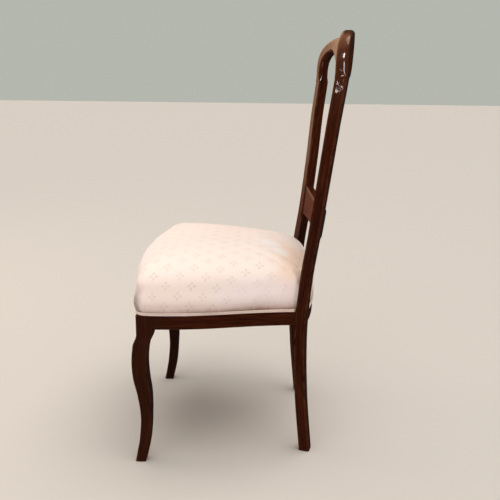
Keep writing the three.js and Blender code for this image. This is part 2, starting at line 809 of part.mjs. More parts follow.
function crossStrap(number) {
  const y = strapMiddleOffset + (number - 1) * strapSpacing;
  const end = sideFace(y + strapWidth / 2) - rebate - strapEndInsetLength;
  return strap(-end, end, number + 1, (s, side, z) => new THREE.Vector3(s, y + side, z));
}

// Welt along the lower edge of the cover
function welt(points, outward) {
  const section = roundedSection(weltThickness, weltHeight, weltThickness / 2 - clearance / 2);
  const z = showTop + clearance + weltHeight / 2;
  const rings = points.map((p, i) => section.map((s) => new THREE.Vector3(
    p.x + outward[i].x * (weltThickness / 2 + clearance + s.x),
    p.y + outward[i].y * (weltThickness / 2 + clearance + s.x),
    z + s.y,
  )));
  return lowered(loft(rings, section));
}

function weltNormals(points) {
  return points.map((p, i) => {
    const before = points[Math.max(i - 1, 0)];
    const after = points[Math.min(i + 1, points.length - 1)];
    const along = after.clone().sub(before).normalize();
    return new THREE.Vector2(along.y, -along.x);
  });
}

function frontWelt() {
  const loop = seatOutline(0, 0);
  const half = Math.floor(loop.length / 2);
  const limit = sideRear.y - weltThickness;
  const right = loop.slice(0, half).filter((p) => p.y < limit && p.x >= 0);
  const path = [...right.slice(1).reverse().map((p) => new THREE.Vector2(-p.x, p.y)), ...right];
  return welt(path, weltNormals(path));
}

function backWelt() {
  const end = postSpread(seatLevel) - postWidth / 2 - weltThickness;
  const path = series(steps.welt, end, -end).map((x) => {
    const p = backPlane(x, seatLevel, backRailFace);
    return new THREE.Vector2(p.x, p.y);
  });
  return welt(path, weltNormals(path));
}

// Assembly
const chair = new THREE.Group();
const frame = new THREE.Group();
const seat = new THREE.Group();
chair.add(frame, seat);

function add(group, name, geometry, finish) {
  const mesh = new THREE.Mesh(geometry, new THREE.MeshStandardMaterial(finish));
  mesh.name = name;
  group.add(mesh);
  return mesh;
}

function addPair(group, name, geometry, finish) {
  add(group, `${name}_left`, geometry, finish);
  add(group, `${name}_right`, mirrored(geometry), finish);
}

const leg = cut(frontLeg(), legRebate(), legTop(), frontTenon(clearance), sideFrontTenon(clearance));
addPair(frame, 'front_leg', leg, wood);

const postTenons = [sideRearTenon(clearance), backTenon(clearance), crossTenon(clearance)];
const post = cut(backPost(), ...postTenons, dowelHole());
addPair(frame, 'back_post', post, wood);

add(frame, 'crest_rail', cut(crestRail(), dowelHole(), mirrored(dowelHole())), wood);
add(frame, 'cross_rail', crossRail(), wood);

const frontHoles = screwHoles(true);
const rearHoles = screwHoles(false);
const bothSides = (tools) => [...tools, ...tools.map(mirrored)];
add(frame, 'front_seat_rail', cut(frontRail(), ...bothSides([frontHoles[1]])), wood);
add(frame, 'back_seat_rail', cut(backRail(), ...bothSides([rearHoles[1]])), wood);
addPair(frame, 'side_seat_rail', cut(sideRail(), frontHoles[0], rearHoles[0]), wood);

const frontBlock = cut(lowered(blockGeometry(frontBlockOutline())), ...frontHoles);
const rearBlock = cut(lowered(blockGeometry(rearBlockOutline())), ...rearHoles, backPost(clearance));
addPair(frame, 'front_corner_block', frontBlock, wood);
addPair(frame, 'rear_corner_block', rearBlock, wood);

[true, false].forEach((front) => screwPlaces(front).forEach(({ at, direction }, i) => {
  ['left', 'right'].forEach((side) => {
    const sign = side === 'left' ? 1 : -1;
    const name = `${front ? 'front' : 'rear'}_block_screw_${side}_${i + 1}`;
    const mesh = add(frame, name, screw(0), steel);
    mesh.position.set(sign * at.x, at.y, at.z - seatDrop(at.y));
    mesh.quaternion.copy(screwTurn(new THREE.Vector3(sign * direction.x, direction.y, direction.z)));
  });
}));

['left', 'right'].forEach((side) => {
  const sign = side === 'left' ? 1 : -1;
  const { middle, direction } = dowelPlace();
  const mesh = add(frame, `crest_dowel_${side}`, dowel(0), wood);
  mesh.position.set(sign * middle.x, middle.y, middle.z);
  mesh.quaternion.setFromUnitVectors(new THREE.Vector3(0, 0, 1),
    new THREE.Vector3(sign * direction.x, direction.y, direction.z));
});

[0, 1, 2].forEach((number) => {
  add(seat, `webbing_long_${number + 1}`, longStrap(number), jute);
  add(seat, `webbing_cross_${number + 1}`, crossStrap(number), jute);
});
add(seat, 'seat_base_cloth', baseCloth(), jute);
add(seat, 'seat_stuffing', seatStuffing(), fabric);
add(seat, 'seat_cover', seatCover(), fabric);
add(seat, 'seat_welt_front', frontWelt(), fabric);
add(seat, 'seat_welt_back', backWelt(), fabric);

// The origin is on the floor, under the middle of the chair
const extent = new THREE.Box3().setFromObject(chair);
chair.position.y = -(extent.min.y + extent.max.y) / 2;

export default chair;
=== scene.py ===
import math
import bmesh
import bpy
import numpy as np
from mathutils import Matrix, Vector, noise


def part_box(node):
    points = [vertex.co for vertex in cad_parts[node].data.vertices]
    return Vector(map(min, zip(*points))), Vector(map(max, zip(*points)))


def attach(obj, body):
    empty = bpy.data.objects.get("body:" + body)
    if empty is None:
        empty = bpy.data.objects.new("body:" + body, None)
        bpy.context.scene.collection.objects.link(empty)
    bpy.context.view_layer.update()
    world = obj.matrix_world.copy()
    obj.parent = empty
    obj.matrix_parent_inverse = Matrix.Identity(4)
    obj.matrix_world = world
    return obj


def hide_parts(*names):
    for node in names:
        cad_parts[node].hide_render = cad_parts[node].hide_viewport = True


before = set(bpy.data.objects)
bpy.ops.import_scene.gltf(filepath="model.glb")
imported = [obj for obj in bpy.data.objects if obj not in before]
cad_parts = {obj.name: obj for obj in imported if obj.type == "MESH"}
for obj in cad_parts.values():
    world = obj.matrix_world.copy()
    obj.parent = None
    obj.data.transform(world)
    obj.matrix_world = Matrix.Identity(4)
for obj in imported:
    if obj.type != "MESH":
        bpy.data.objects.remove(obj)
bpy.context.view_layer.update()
print("frame loaded:", len(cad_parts), "pieces")

# shared shapes: values that run smoothly through given levels, and the plan of the chair


def smoothThrough(levels, values):
    levels, values = np.asarray(levels, float), np.asarray(values, float)
    places = np.arange(len(levels))
    low, high = np.maximum(places - 1, 0), np.minimum(places + 1, len(levels) - 1)
    slopes = (values[high] - values[low]) / (levels[high] - levels[low])

    def at(level):
        level = np.asarray(level, float)
        i = np.searchsorted(levels[1:-1], level, side="left")
        span = levels[i + 1] - levels[i]
        t = np.clip((level - levels[i]) / span, 0, 1)
        rise = t * t * (3 - 2 * t)
        return (values[i] + (values[i + 1] - values[i]) * rise
                + span * (slopes[i] * t * (1 - t) ** 2 + slopes[i + 1] * t * t * (t - 1)))
    return at


def easeStep(value, low, high):
    t = np.clip((np.asarray(value, float) - low) / (high - low), 0, 1)
    return t * t * (3 - 2 * t)


def hump(x, halfWidth):
    return (1 + np.cos(np.pi * np.minimum(np.abs(x) / halfWidth, 1))) / 2


seatPlan = {
    "frontHalf": 0.226, "frontDepth": 0.197, "frontBow": 0.024,
    "belly": 0.0036, "swell": 0.0032, "fall": 0.0076,  # the side rails' bend, the seat's fall to the rear
    "railBottom": 0.311, "showTop": 0.341, "railTop": 0.366,  # showTop: where polish ends and cloth begins
    "railThickness": 0.024, "backRailThickness": 0.017, "railArris": 0.0016, "rebate": 0.0046,
    "legBlock": 0.034, "cornerRadius": 0.020,
}
postPlan = {
    "height": 0.800, "width": 0.028, "depth": 0.0235, "footSize": 0.024, "arris": 0.0036,
    "turn": math.radians(15), "footHalf": 0.142, "shoulderHalf": 0.2165,
    "nearestBack": 0.138, "shoulderBack": 0.1935, "dowelDepth": 0.025,
    # the post's line: at each share of its height, the shares of its spread and of its sweep backwards
    "levelShares": [0, 0.18, 0.36, 0.5, 0.625, 0.775, 0.9, 1, 1.05],
    "spreadShares": [0, 0.09, 0.215, 0.285, 0.31, 0.52, 0.845, 0.99, 1.01],
    "backShares": [0.333, 0.09, 0, 0.13, 0.378, 0.63, 0.815, 1, 1.06],
}
legInner = seatPlan["frontHalf"] - seatPlan["legBlock"]
legBack = -seatPlan["frontDepth"] + seatPlan["legBlock"]
postLevels = np.array(postPlan["levelShares"]) * postPlan["height"]
postSpread = smoothThrough(postLevels, postPlan["footHalf"] + np.array(postPlan["spreadShares"])
                           * (postPlan["shoulderHalf"] - postPlan["footHalf"]))
postBack = smoothThrough(postLevels, postPlan["nearestBack"] + np.array(postPlan["backShares"])
                         * (postPlan["shoulderBack"] - postPlan["nearestBack"]))


# a point of the post at height z, by its place in the turned section
def postPoint(z, out, back):
    z = np.asarray(z, float)
    turn = postPlan["turn"]
    return np.stack([postSpread(z) + out * np.cos(turn) + back * np.sin(turn),
                     postBack(z) - out * np.sin(turn) + back * np.cos(turn), z + 0 * out], axis=-1)


# a point of the bowed sheet in which the whole back lies, moved off it by offset
def bowedPlane(x, z, offset):
    level = np.minimum(z, postPlan["height"])
    half = postSpread(level)
    slope = np.tan(postPlan["turn"]) * x / half
    bow = np.tan(postPlan["turn"]) * half / 2
    length = np.hypot(slope, 1)
    return np.stack([x + offset * slope / length,
                     postBack(level) + bow * (1 - (x / half) ** 2) + offset / length, z + 0 * x], axis=-1)


sideRear = postPoint(seatPlan["showTop"], postPlan["width"] / 2 - seatPlan["railArris"],
                     -postPlan["depth"] / 2)
backFace = postPlan["depth"] / 2 - postPlan["arris"]


def frontFace(x):
    share = np.minimum(np.abs(x) / legInner, 1)
    return -seatPlan["frontDepth"] - seatPlan["frontBow"] * (1 - share * share)


def sideFace(y):
    share = np.clip((np.asarray(y, float) - legBack) / (sideRear[1] - legBack), 0, 1)
    line = seatPlan["frontHalf"] + (sideRear[0] - seatPlan["frontHalf"]) * share
    return line + seatPlan["belly"] * np.sin(np.pi * share) + seatPlan["swell"] * np.sin(2 * np.pi * share)


def seatDrop(y):
    reach = seatPlan["frontDepth"] + postPlan["shoulderBack"]
    return seatPlan["fall"] * (y + seatPlan["frontDepth"]) / reach


def lowered(points):
    points = np.array(points, float)
    points[..., 2] -= seatDrop(points[..., 1])
    return points


# the plan is drawn from the seat, the frame from the middle of the chair: a dowel's place gives the shift
dowelMiddle = (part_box("crest_dowel_left")[0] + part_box("crest_dowel_left")[1]) / 2
dowelPlan = (postPoint(postPlan["height"] - postPlan["dowelDepth"], 0.0, 0.0)
             + bowedPlane(postPlan["shoulderHalf"], postPlan["height"] + postPlan["dowelDepth"], 0.0)) / 2
planShift = np.array([0, dowelMiddle.y - dowelPlan[1], 0])
print("plan shift", planShift)


# a rectangle with round arrises, and how much the polish is rubbed at each of its points
def roundedOutline(width, depth, radius, cornerSteps=6):
    points, wear = [], []
    for corner, (sx, sy) in enumerate([(1, 1), (-1, 1), (-1, -1), (1, -1)]):
        for step in range(cornerSteps + 1):
            angle = (corner + step / cornerSteps) * math.pi / 2
            points.append((sx * (width / 2 - radius) + radius * math.cos(angle),
                           sy * (depth / 2 - radius) + radius * math.sin(angle)))
            wear.append(1.0)
        nx, ny = [(-1, 1), (-1, -1), (1, -1), (1, 1)][corner]
        nextAngle = (corner + 1) * math.pi / 2
        nextPoint = (nx * (width / 2 - radius) + radius * math.cos(nextAngle),
                     ny * (depth / 2 - radius) + radius * math.sin(nextAngle))
        here = points[-1]
        for share in (0.12, 0.5, 0.88):
            points.append((here[0] + (nextPoint[0] - here[0]) * share,
                           here[1] + (nextPoint[1] - here[1]) * share))
            wear.append(0.0)
    return np.array(points), np.array(wear)


def newPiece(name, points, faces, material, smoothAngle=40, **marks):
    mesh = bpy.data.meshes.new(name)
    mesh.from_pydata([tuple(p) for p in points], [], faces)
    for key, values in marks.items():
        values = np.asarray(values, np.float32)
        kind = "FLOAT_VECTOR" if values.ndim == 2 else "FLOAT"
        layer = mesh.attributes.new(key, kind, "POINT")
        layer.data.foreach_set("vector" if values.ndim == 2 else "value", values.ravel())
    mesh.materials.append(material)
    piece = bpy.data.objects.new(name, mesh)
    bpy.context.scene.collection.objects.link(piece)
    turnOutward(mesh)
    for polygon in mesh.polygons:
        polygon.use_smooth = True
    mesh.set_sharp_from_angle(angle=math.radians(smoothAngle))
    return piece


def turnOutward(mesh):
    work = bmesh.new()
    work.from_mesh(mesh)
    bmesh.ops.recalc_face_normals(work, faces=work.faces)
    work.to_mesh(mesh)
    work.free()
    mesh.update()


# faces between each ring of points and the next
def ringFaces(count, size, first, flip=False):
    faces = []
    for r in range(count - 1):
        for i in range(size):
            a, b = first + r * size + i, first + r * size + (i + 1) % size
            faces.append((a, a + size, b + size, b) if flip else (a, b, b + size, a + size))
    return faces


# one face over the first ring and one over the last
def endFaces(count, size):
    return [tuple(range(size - 1, -1, -1)), tuple((count - 1) * size + i for i in range(size))]


# triangles from the last ring to one point in its middle
def fanFaces(last, hub, size, flip=False):
    edges = [(last + i, last + (i + 1) % size) for i in range(size)]
    return [(b, a, hub) if flip else (a, b, hub) for a, b in edges]


def loftPiece(name, rings, wear, material, grain):
    rings = np.array(rings, float)
    count, size = rings.shape[:2]
    faces = ringFaces(count, size, 0) + endFaces(count, size)
    return newPiece(name, (rings + planShift).reshape(-1, 3), faces, material,
                    grainPlace=np.array(grain, float).reshape(-1, 3), arrisWear=np.array(wear, float).ravel())


# where a ring's points lie in the plank that the piece is cut from, its grain running along
def plankPlaces(along, across, through):
    return np.column_stack([np.full(len(across), along), across, through])


def mirroredPiece(piece, name):
    copy = piece.copy()
    copy.data = piece.data.copy()
    copy.name = copy.data.name = name
    copy.data.transform(Matrix.Diagonal((-1, 1, 1, 1)))
    copy.data.flip_normals()
    bpy.context.scene.collection.objects.link(copy)
    return copy


def single(piece, node):
    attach(piece, "root")
    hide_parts(node)
    return piece


def pairOf(left, node):
    right = mirroredPiece(left, left.name.replace("Left", "Right"))
    return single(left, f"{node}_left"), single(right, f"{node}_right")


# an input without a value takes a vector; the outputs are plain values
def nodeGroup(name, inputs, outputs):
    tree = bpy.data.node_groups.new(name, "ShaderNodeTree")
    for label, value in inputs.items():
        kind = "NodeSocketVector" if value is None else "NodeSocketFloat"
        socket = tree.interface.new_socket(name=label, in_out="INPUT", socket_type=kind)
        if value is not None:
            socket.default_value = value
    for label in outputs:
        tree.interface.new_socket(name=label, in_out="OUTPUT", socket_type="NodeSocketFloat")
    return tree, tree.nodes.new("NodeGroupInput"), tree.nodes.new("NodeGroupOutput")


# makes shader nodes and links them
class Wires:
    def __init__(self, tree):
        self.tree = tree

    def node(self, kind, **settings):
        made = self.tree.nodes.new(kind)
        for key, value in settings.items():
            setattr(made, key, value)
        return made

    def put(self, socket, value):
        if isinstance(value, bpy.types.NodeSocket):
            self.tree.links.new(value, socket)
        else:
            socket.default_value = value

    def dress(self, node, values):
        for label, value in values.items():
            self.put(node.inputs[label], value)

    def math(self, operation, a, b=0.0, clamp=False):
        made = self.node("ShaderNodeMath", operation=operation, use_clamp=clamp)
        self.put(made.inputs[0], a)
        self.put(made.inputs[1], b)
        return made.outputs[0]

    def add(self, a, b):
        return self.math("ADD", a, b)

    def minus(self, a, b):
        return self.math("SUBTRACT", a, b)

    def times(self, a, b, clamp=False):
        return self.math("MULTIPLY", a, b, clamp)

    def divide(self, a, b):
        return self.math("DIVIDE", a, b)

    def larger(self, a, b):
        return self.math("MAXIMUM", a, b)

    def absolute(self, a):
        return self.math("ABSOLUTE", a)

    def noise(self, vector, scale, detail=3.0, roughness=0.5):
        made = self.node("ShaderNodeTexNoise")
        self.dress(made, {"Vector": vector, "Scale": scale, "Detail": detail, "Roughness": roughness})
        return made.outputs[0]

    def mapping(self, vector, scale):
        made = self.node("ShaderNodeMapping")
        self.dress(made, {"Vector": vector, "Scale": scale})
        return made.outputs[0]

    def ramp(self, value, stops):
        made = self.node("ShaderNodeValToRGB")
        self.put(made.inputs[0], value)
        elements = made.color_ramp.elements
        while len(elements) < len(stops):
            elements.new(0.5)
        for element, (place, colour) in zip(elements, stops):
            element.position = place
            element.color = (*colour, 1)
        return made.outputs[0]

    def span(self, value, low, high, newLow=0.0, newHigh=1.0, kind="LINEAR"):
        made = self.node("ShaderNodeMapRange", interpolation_type=kind)
        for slot, number in enumerate((value, low, high, newLow, newHigh)):
            self.put(made.inputs[slot], number)
        return made.outputs[0]

    def ease(self, value, low, high, newLow=0.0, newHigh=1.0):
        return self.span(value, low, high, newLow, newHigh, "SMOOTHSTEP")

    def mix(self, factor, a, b):
        made = self.node("ShaderNodeMix", data_type="RGBA")
        self.put(made.inputs[0], factor)
        self.put(made.inputs[6], a if isinstance(a, bpy.types.NodeSocket) else (*a, 1))
        self.put(made.inputs[7], b if isinstance(b, bpy.types.NodeSocket) else (*b, 1))
        return made.outputs[2]

    def split(self, vector):
        made = self.node("ShaderNodeSeparateXYZ")
        self.put(made.inputs[0], vector)
        return made.outputs

    def join(self, x, y, z):
        made = self.node("ShaderNodeCombineXYZ")
        for socket, value in zip(made.inputs, (x, y, z)):
            self.put(socket, value)
        return made.outputs[0]

    def attribute(self, name):
        return self.node("ShaderNodeAttribute", attribute_name=name, attribute_type="GEOMETRY")

    def bump(self, height, distance, strength=1.0, normal=None):
        made = self.node("ShaderNodeBump")
        self.dress(made, {"Strength": strength, "Distance": distance, "Height": height})
        if normal is not None:
            self.put(made.inputs["Normal"], normal)
        return made.outputs[0]


def newMaterial(name, diffuse):
    material = bpy.data.materials.new(name)
    material.use_nodes = True
    material.diffuse_color = (*diffuse, 1)
    return material, Wires(material.node_tree), material.node_tree.nodes["Principled BSDF"]


def useGroup(w, tree, **inputs):
    made = w.node("ShaderNodeGroup", node_tree=tree)
    for key, value in inputs.items():
        w.put(made.inputs[key], value)
    return made.outputs


mahogany = {
    "dark": (0.017, 0.0032, 0.0011), "middle": (0.048, 0.0088, 0.0026), "light": (0.105, 0.0255, 0.0070),
    "wear": (0.22, 0.090, 0.040), "wearAmount": 0.20, "ribbon": 26.0, "pores": 900.0, "roughness": 0.42,
    "coatWeight": 0.85, "coatRoughness": 0.07, "specular": 0.02, "ripple": 0.0012, "rippleScale": 46.0,
    # painted light: near the crest the outward and upward faces are lightened, a painted glow of the polish
    "paintedGlow": (0.150, 0.050, 0.017), "paintedGlowHeight": (0.70, 0.87), "paintedGlowAmount": 0.32,
    "outward": (-0.02, 0.12), "upward": (0.2, 0.8),
    # painted shade below the seat: the front legs darker and browner, the faces turned inwards darker
    "below": (0.47, 0.43),
    "shadeBrown": (0.026, 0.0080, 0.0036), "shadeBrownDepth": (-0.10, -0.17), "shadeBrownAmount": 0.55,
    "shaded": (0.008, 0.0022, 0.0014), "inward": (0.02, -0.12), "shadedAmount": 0.6,
}


# a layer of the grain has how far it is drawn out along the wood, its detail and its roughness;
# the patches of rubbed edge have their scale, detail and roughness
grainLook = {
    "bendScale": 3.0, "bend": 0.012, "figure": (0.06, 5, 0.62), "figureTimes": 6.0, "figureShare": 0.68,
    "streak": (0.02, 2, 0.5), "streakTimes": 30.0, "streakShare": 0.32, "pore": (0.035, 1, 0.4),
    "poreSpan": (0.56, 0.70), "cloud": (0.5, 3, 0.55), "cloudScale": 14.0,
    "patch": (60.0, 4, 0.65), "patchSpan": (0.38, 0.64), "edgePower": 2.2,
}


# ribbons, pores and clouds of a wood whose grain runs along the first coordinate
def grainGroup():
    tree, source, sink = nodeGroup("woodGrain", {"Place": None, "Ribbon": 26.0, "Pores": 900.0},
                                   ("Figure", "Pore", "Cloud"))
    w, look = Wires(tree), grainLook
    place, ribbon = source.outputs["Place"], source.outputs["Ribbon"]
    wander = w.node("ShaderNodeTexNoise")
    w.dress(wander, {"Scale": look["bendScale"], "Vector": place})
    bend = w.node("ShaderNodeVectorMath", operation="SCALE")
    w.dress(bend, {0: wander.outputs["Color"], "Scale": look["bend"]})
    bent = w.node("ShaderNodeVectorMath", operation="ADD")
    w.dress(bent, {0: place, 1: bend.outputs[0]})

    def drawnOut(layer, scale, where=bent.outputs[0]):
        length, detail, roughness = look[layer]
        return w.noise(w.mapping(where, (length, 1, 1)), scale, detail, roughness)

    figure = drawnOut("figure", w.times(ribbon, look["figureTimes"]))
    streak = drawnOut("streak", w.times(ribbon, look["streakTimes"]))
    w.dress(sink, {
        "Figure": w.add(w.times(figure, look["figureShare"]), w.times(streak, look["streakShare"])),
        "Pore": w.span(drawnOut("pore", source.outputs["Pores"]), *look["poreSpan"]),
        "Cloud": drawnOut("cloud", look["cloudScale"], place),
    })
    return tree


def wearGroup():
    tree, source, sink = nodeGroup("edgeWear", {"Arris": 0.0, "Place": None, "Amount": 0.5}, ("Worn",))
    w, look = Wires(tree), grainLook
    patches = w.noise(source.outputs["Place"], *look["patch"])
    patchy = w.span(patches, *look["patchSpan"])
    edge = w.math("POWER", source.outputs["Arris"], look["edgePower"])
    w.dress(sink, {"Worn": w.times(w.times(edge, patchy), source.outputs["Amount"], clamp=True)})
    return tree


woodGrain = grainGroup()
edgeWear = wearGroup()


# painted light and painted shade on the polished wood, by the way each face turns, its height and place
def paintedLightAndShade(w, colour, values):
    x, y, z = w.split(w.node("ShaderNodeTexCoord").outputs["Object"])
    facing = w.split(w.node("ShaderNodeNewGeometry").outputs["Normal"])
    # painted light: outward and upward faces near the crest are lightened as a glow of the polish
    aside = w.times(facing[0], x)
    outward = w.larger(w.span(aside, *values["outward"]), w.span(facing[2], *values["upward"]))
    paintedGlow = w.times(outward, w.span(z, *values["paintedGlowHeight"], 0.0, values["paintedGlowAmount"]))
    colour = w.mix(paintedGlow, colour, values["paintedGlow"])
    # painted shade: below the seat the front legs are darkened to a browner colour
    below = w.span(z, *values["below"])
    shadeBrown = w.times(w.ease(y, *values["shadeBrownDepth"], 0.0, values["shadeBrownAmount"]), below)
    colour = w.mix(shadeBrown, colour, values["shadeBrown"])
    # painted shade: below the seat the faces turned inwards are darkened
    inward = w.times(w.span(aside, *values["inward"], 0.0, values["shadedAmount"]), below)
    return w.mix(inward, colour, values["shaded"])


# what both woods share: where dark, middle and light of the figure lie, and how strongly each thing shows
woodLook = {
    "stops": (0.30, 0.50, 0.72), "cloudSpan": (0.3, 0.75), "cloudAmount": 0.45, "poreAmount": 0.55,
    "poreShade": 0.35, "glossSpan": (0.3, 0.7), "smoother": 0.85, "rougher": 1.2, "wornRoughness": 0.12,
    "rippleRoughness": 0.4, "rippleStrength": 0.6, "poreHeight": -0.4, "figureHeight": 0.6,
    "relief": 0.00025, "reliefStrength": 0.5,
}


def woodMaterial(name, values, polished):
    look = woodLook
    material, w, surface = newMaterial(name, values["middle"])
    if polished:
        place = w.attribute("grainPlace").outputs["Vector"]
    else:
        place = w.node("ShaderNodeTexCoord").outputs["Object"]
    grain = useGroup(w, woodGrain, Place=place, Ribbon=values["ribbon"], Pores=values["pores"])
    stops = list(zip(look["stops"], (values["dark"], values["middle"], values["light"])))
    colour = w.ramp(grain["Figure"], stops)
    cloudy = w.span(grain["Cloud"], *look["cloudSpan"], 0.0, look["cloudAmount"])
    colour = w.mix(cloudy, colour, values["dark"])
    colour = w.mix(w.times(grain["Pore"], look["poreAmount"]), colour,
                   tuple(c * look["poreShade"] for c in values["dark"]))
    roughness = w.span(grain["Cloud"], *look["glossSpan"], values["roughness"] * look["smoother"],
                       values["roughness"] * look["rougher"])
    if polished:
        worn = useGroup(w, edgeWear, Arris=w.attribute("arrisWear").outputs["Fac"], Place=place,
                        Amount=values["wearAmount"])["Worn"]
        colour = paintedLightAndShade(w, w.mix(worn, colour, values["wear"]), values)
        roughness = w.add(roughness, w.times(worn, look["wornRoughness"]))
        wave = w.noise(place, values["rippleScale"], detail=1, roughness=look["rippleRoughness"])
        w.dress(surface, {
            "Coat Weight": values["coatWeight"], "Coat Roughness": values["coatRoughness"],
            "Specular IOR Level": values["specular"],
            # old hand polish breaks up the highlights
            "Coat Normal": w.bump(wave, values["ripple"], look["rippleStrength"]),
        })
    height = w.add(w.times(grain["Pore"], look["poreHeight"]), w.times(grain["Figure"], look["figureHeight"]))
    w.dress(surface, {"Base Color": colour, "Roughness": roughness,
                      "Normal": w.bump(height, look["relief"], look["reliefStrength"])})
    return material


showWood = woodMaterial("mahoganyPolished", mahogany, polished=True)
blockWood = woodMaterial("blockWoodRaw", {
    "dark": (0.10, 0.055, 0.026), "middle": (0.21, 0.128, 0.065), "light": (0.33, 0.215, 0.118),
    "ribbon": 20.0, "pores": 700.0, "roughness": 0.62}, polished=False)
print("wood ready")

# back posts: leg and upright in one sweep
postMaking = {"rings": 150, "firstRing": 0.006, "footRound": 0.0012, "grainShift": 0.31}


def makePost():
    making, plan = postMaking, postPlan
    heights = np.concatenate([[0, making["footRound"]],
                              np.linspace(making["firstRing"], plan["height"], making["rings"])])
    shin = plan["levelShares"][2] * plan["height"]
    rings, wears, grains = [], [], []
    for i, z in enumerate(heights):
        blend = min(z / shin, 1)
        shrink = making["footRound"] if i == 0 else 0
        width, depth = (plan["footSize"] + (plan[side] - plan["footSize"]) * blend - 2 * shrink
                        for side in ("width", "depth"))
        outline, wear = roundedOutline(width, depth, plan["arris"])
        rings.append(postPoint(np.full(len(outline), z), outline[:, 0], outline[:, 1]))
        wears.append(wear)
        grains.append(plankPlaces(z, outline[:, 0] + making["grainShift"], outline[:, 1]))
    return loftPiece("backPostLeft", rings, wears, showWood, grains)


postRight = pairOf(makePost(), "back_post")[1]
print("posts ready")

# crest rail: a round-shouldered arch, dipped on top, with a drop below its middle
crestPlan = {
    "rise": 0.094, "dip": 0.007, "dipHalf": 0.105, "underRise": 0.068, "drop": 0.068, "dropHalf": 0.116,
    "arris": 0.008, "round": 3.8, "underRound": 3.8, "stations": 280, "blend": 14,
    "leanReach": 0.022, "leanStep": 0.002, "wear": 0.8, "grainShift": 0.17, "cornerSteps": 8,
}
crestLean = float(postSpread(postPlan["height"])
                  - postSpread(postPlan["height"] - crestPlan["leanStep"])) / crestPlan["leanStep"]
crestInner = postPlan["shoulderHalf"] - postPlan["width"] * math.cos(postPlan["turn"]) / 2
crestOuter = postPlan["shoulderHalf"] + postPlan["width"] * math.cos(postPlan["turn"]) / 2


# a rounded arch whose ends start with the lean of the posts
def archPoint(angle, half, rise, power):
    x, z = math.cos(angle), max(math.sin(angle), 0)
    reach = (abs(x) ** power + z ** power) ** (-1 / power)
    above = rise * z * reach
    lean = crestLean * above * math.exp(-above / crestPlan["leanReach"])
    return np.array([half * x * reach + math.copysign(lean, x), postPlan["height"] + above])


def makeCrest():
    plan, count = crestPlan, crestPlan["stations"]
    rings, wears, grains, along, last = [], [], [], 0.0, None
    for i in range(count + 1):
        angle = math.pi * i / count
        outer = archPoint(angle, crestOuter, plan["rise"], plan["round"])
        inner = archPoint(angle, crestInner, plan["underRise"], plan["underRound"])
        outer[1] -= plan["dip"] * hump(outer[0], plan["dipHalf"])
        inner[1] -= plan["drop"] * hump(inner[0], plan["dropHalf"])
        if i in (0, count):
            outer[1] = inner[1] = postPlan["height"]
        middle, across = (outer + inner) / 2, outer - inner
        width = np.linalg.norm(across)
        across = across / width
        toEnd = min(i, count - i) / plan["blend"]
        arris = postPlan["arris"] + (plan["arris"] - postPlan["arris"]) * float(easeStep(toEnd, 0, 1))
        outline, wear = roundedOutline(width, postPlan["depth"], arris, plan["cornerSteps"])
        rings.append(bowedPlane(middle[0] + across[0] * outline[:, 0], middle[1] + across[1] * outline[:, 0],
                                outline[:, 1]))
        along += 0 if last is None else float(np.linalg.norm(middle - last))
        last = middle
        wears.append(wear * plan["wear"])
        grains.append(plankPlaces(along, outline[:, 0], outline[:, 1] + plan["grainShift"]))
    return loftPiece("crestRail", rings, wears, showWood, grains)


single(makeCrest(), "crest_rail")
print("crest rail ready")

# cross rail: bowed with the back, with a pendant below its middle
crossPlan = {
    "thickness": 0.018, "endBottom": 0.480, "endTop": 0.552, "sag": 0.013, "pendant": 0.028,
    "pendantHalf": 0.046, "middleTop": 0.525, "arris": 0.003, "wear": 0.8,
    "stations": 200, "shortOfPost": 0.004,
}


def makeCrossRail():
    plan = crossPlan
    reach = float(postSpread((plan["endBottom"] + plan["endTop"]) / 2))
    half = reach - plan["shortOfPost"]
    rings, wears, grains = [], [], []
    for x in np.linspace(-half, half, plan["stations"]):
        low = plan["endBottom"] - plan["sag"] * hump(x, reach)
        low -= plan["pendant"] * hump(x, plan["pendantHalf"])
        high = plan["middleTop"] + (plan["endTop"] - plan["middleTop"]) * (x / reach) ** 2
        outline, wear = roundedOutline(high - low, plan["thickness"], plan["arris"])
        levels = (low + high) / 2 + outline[:, 0]
        rings.append(bowedPlane(np.full(len(outline), x), levels, outline[:, 1]))
        wears.append(wear * plan["wear"])
        grains.append(plankPlaces(x, levels, outline[:, 1]))
    return loftPiece("crossRail", rings, wears, showWood, grains)


single(makeCrossRail(), "cross_rail")

# front legs: each table of shares gives, for every level of the leg, how much of each size is felt there
legPlan = {
    "curveTop": 0.304, "foot": 0.022, "ankle": 0.0234, "knee": 0.0314, "block": 0.034,
    "footReach": 0.020, "ankleReach": 0.0046, "kneeReach": 0.0123, "kneeSpread": 0.004, "footTuck": 0.010,
    "arris": 0.003, "rings": 90, "firstRing": 0.005, "footRound": 0.0012, "blockRing": 0.32, "fallFrom": 0.33,
    "grainShift": (0.4, 0.23), "arrisShare": 0.3,
    "levelShares": [0, 0.09, 0.185, 0.355, 0.525, 0.66, 0.79, 0.905, 1],
}
legReachShares = {
    "footReach": [1, 0.61, 0.27, 0, 0.05, 0, 0, 0, 0], "ankleReach": [0, 0.39, 0.73, 1, 0, 0, 0, 0, 0],
    "kneeReach": [0, 0, 0, 0, 0.41, 0.89, 1, 0.71, 0.12],
}
legSpreadShares = {
    "kneeSpread": [0, 0, 0, 0, 0, 0.55, 1, 0.7, 0.1],
    "footTuck": [-1, -1.05, -1.08, -0.92, -0.4, -0.08, 0, 0, 0],
}
legGirthShares = {
    "foot": [1, 0.29, 0.14, 0, 0, 0, 0, 0, 0], "ankle": [0, 0.71, 0.86, 1, 0.41, 0.04, 0, 0, 0],
    "knee": [0, 0, 0, 0, 0.59, 0.96, 1, 0.82, 0], "block": [0, 0, 0, 0, 0, 0, 0, 0.18, 1],
}


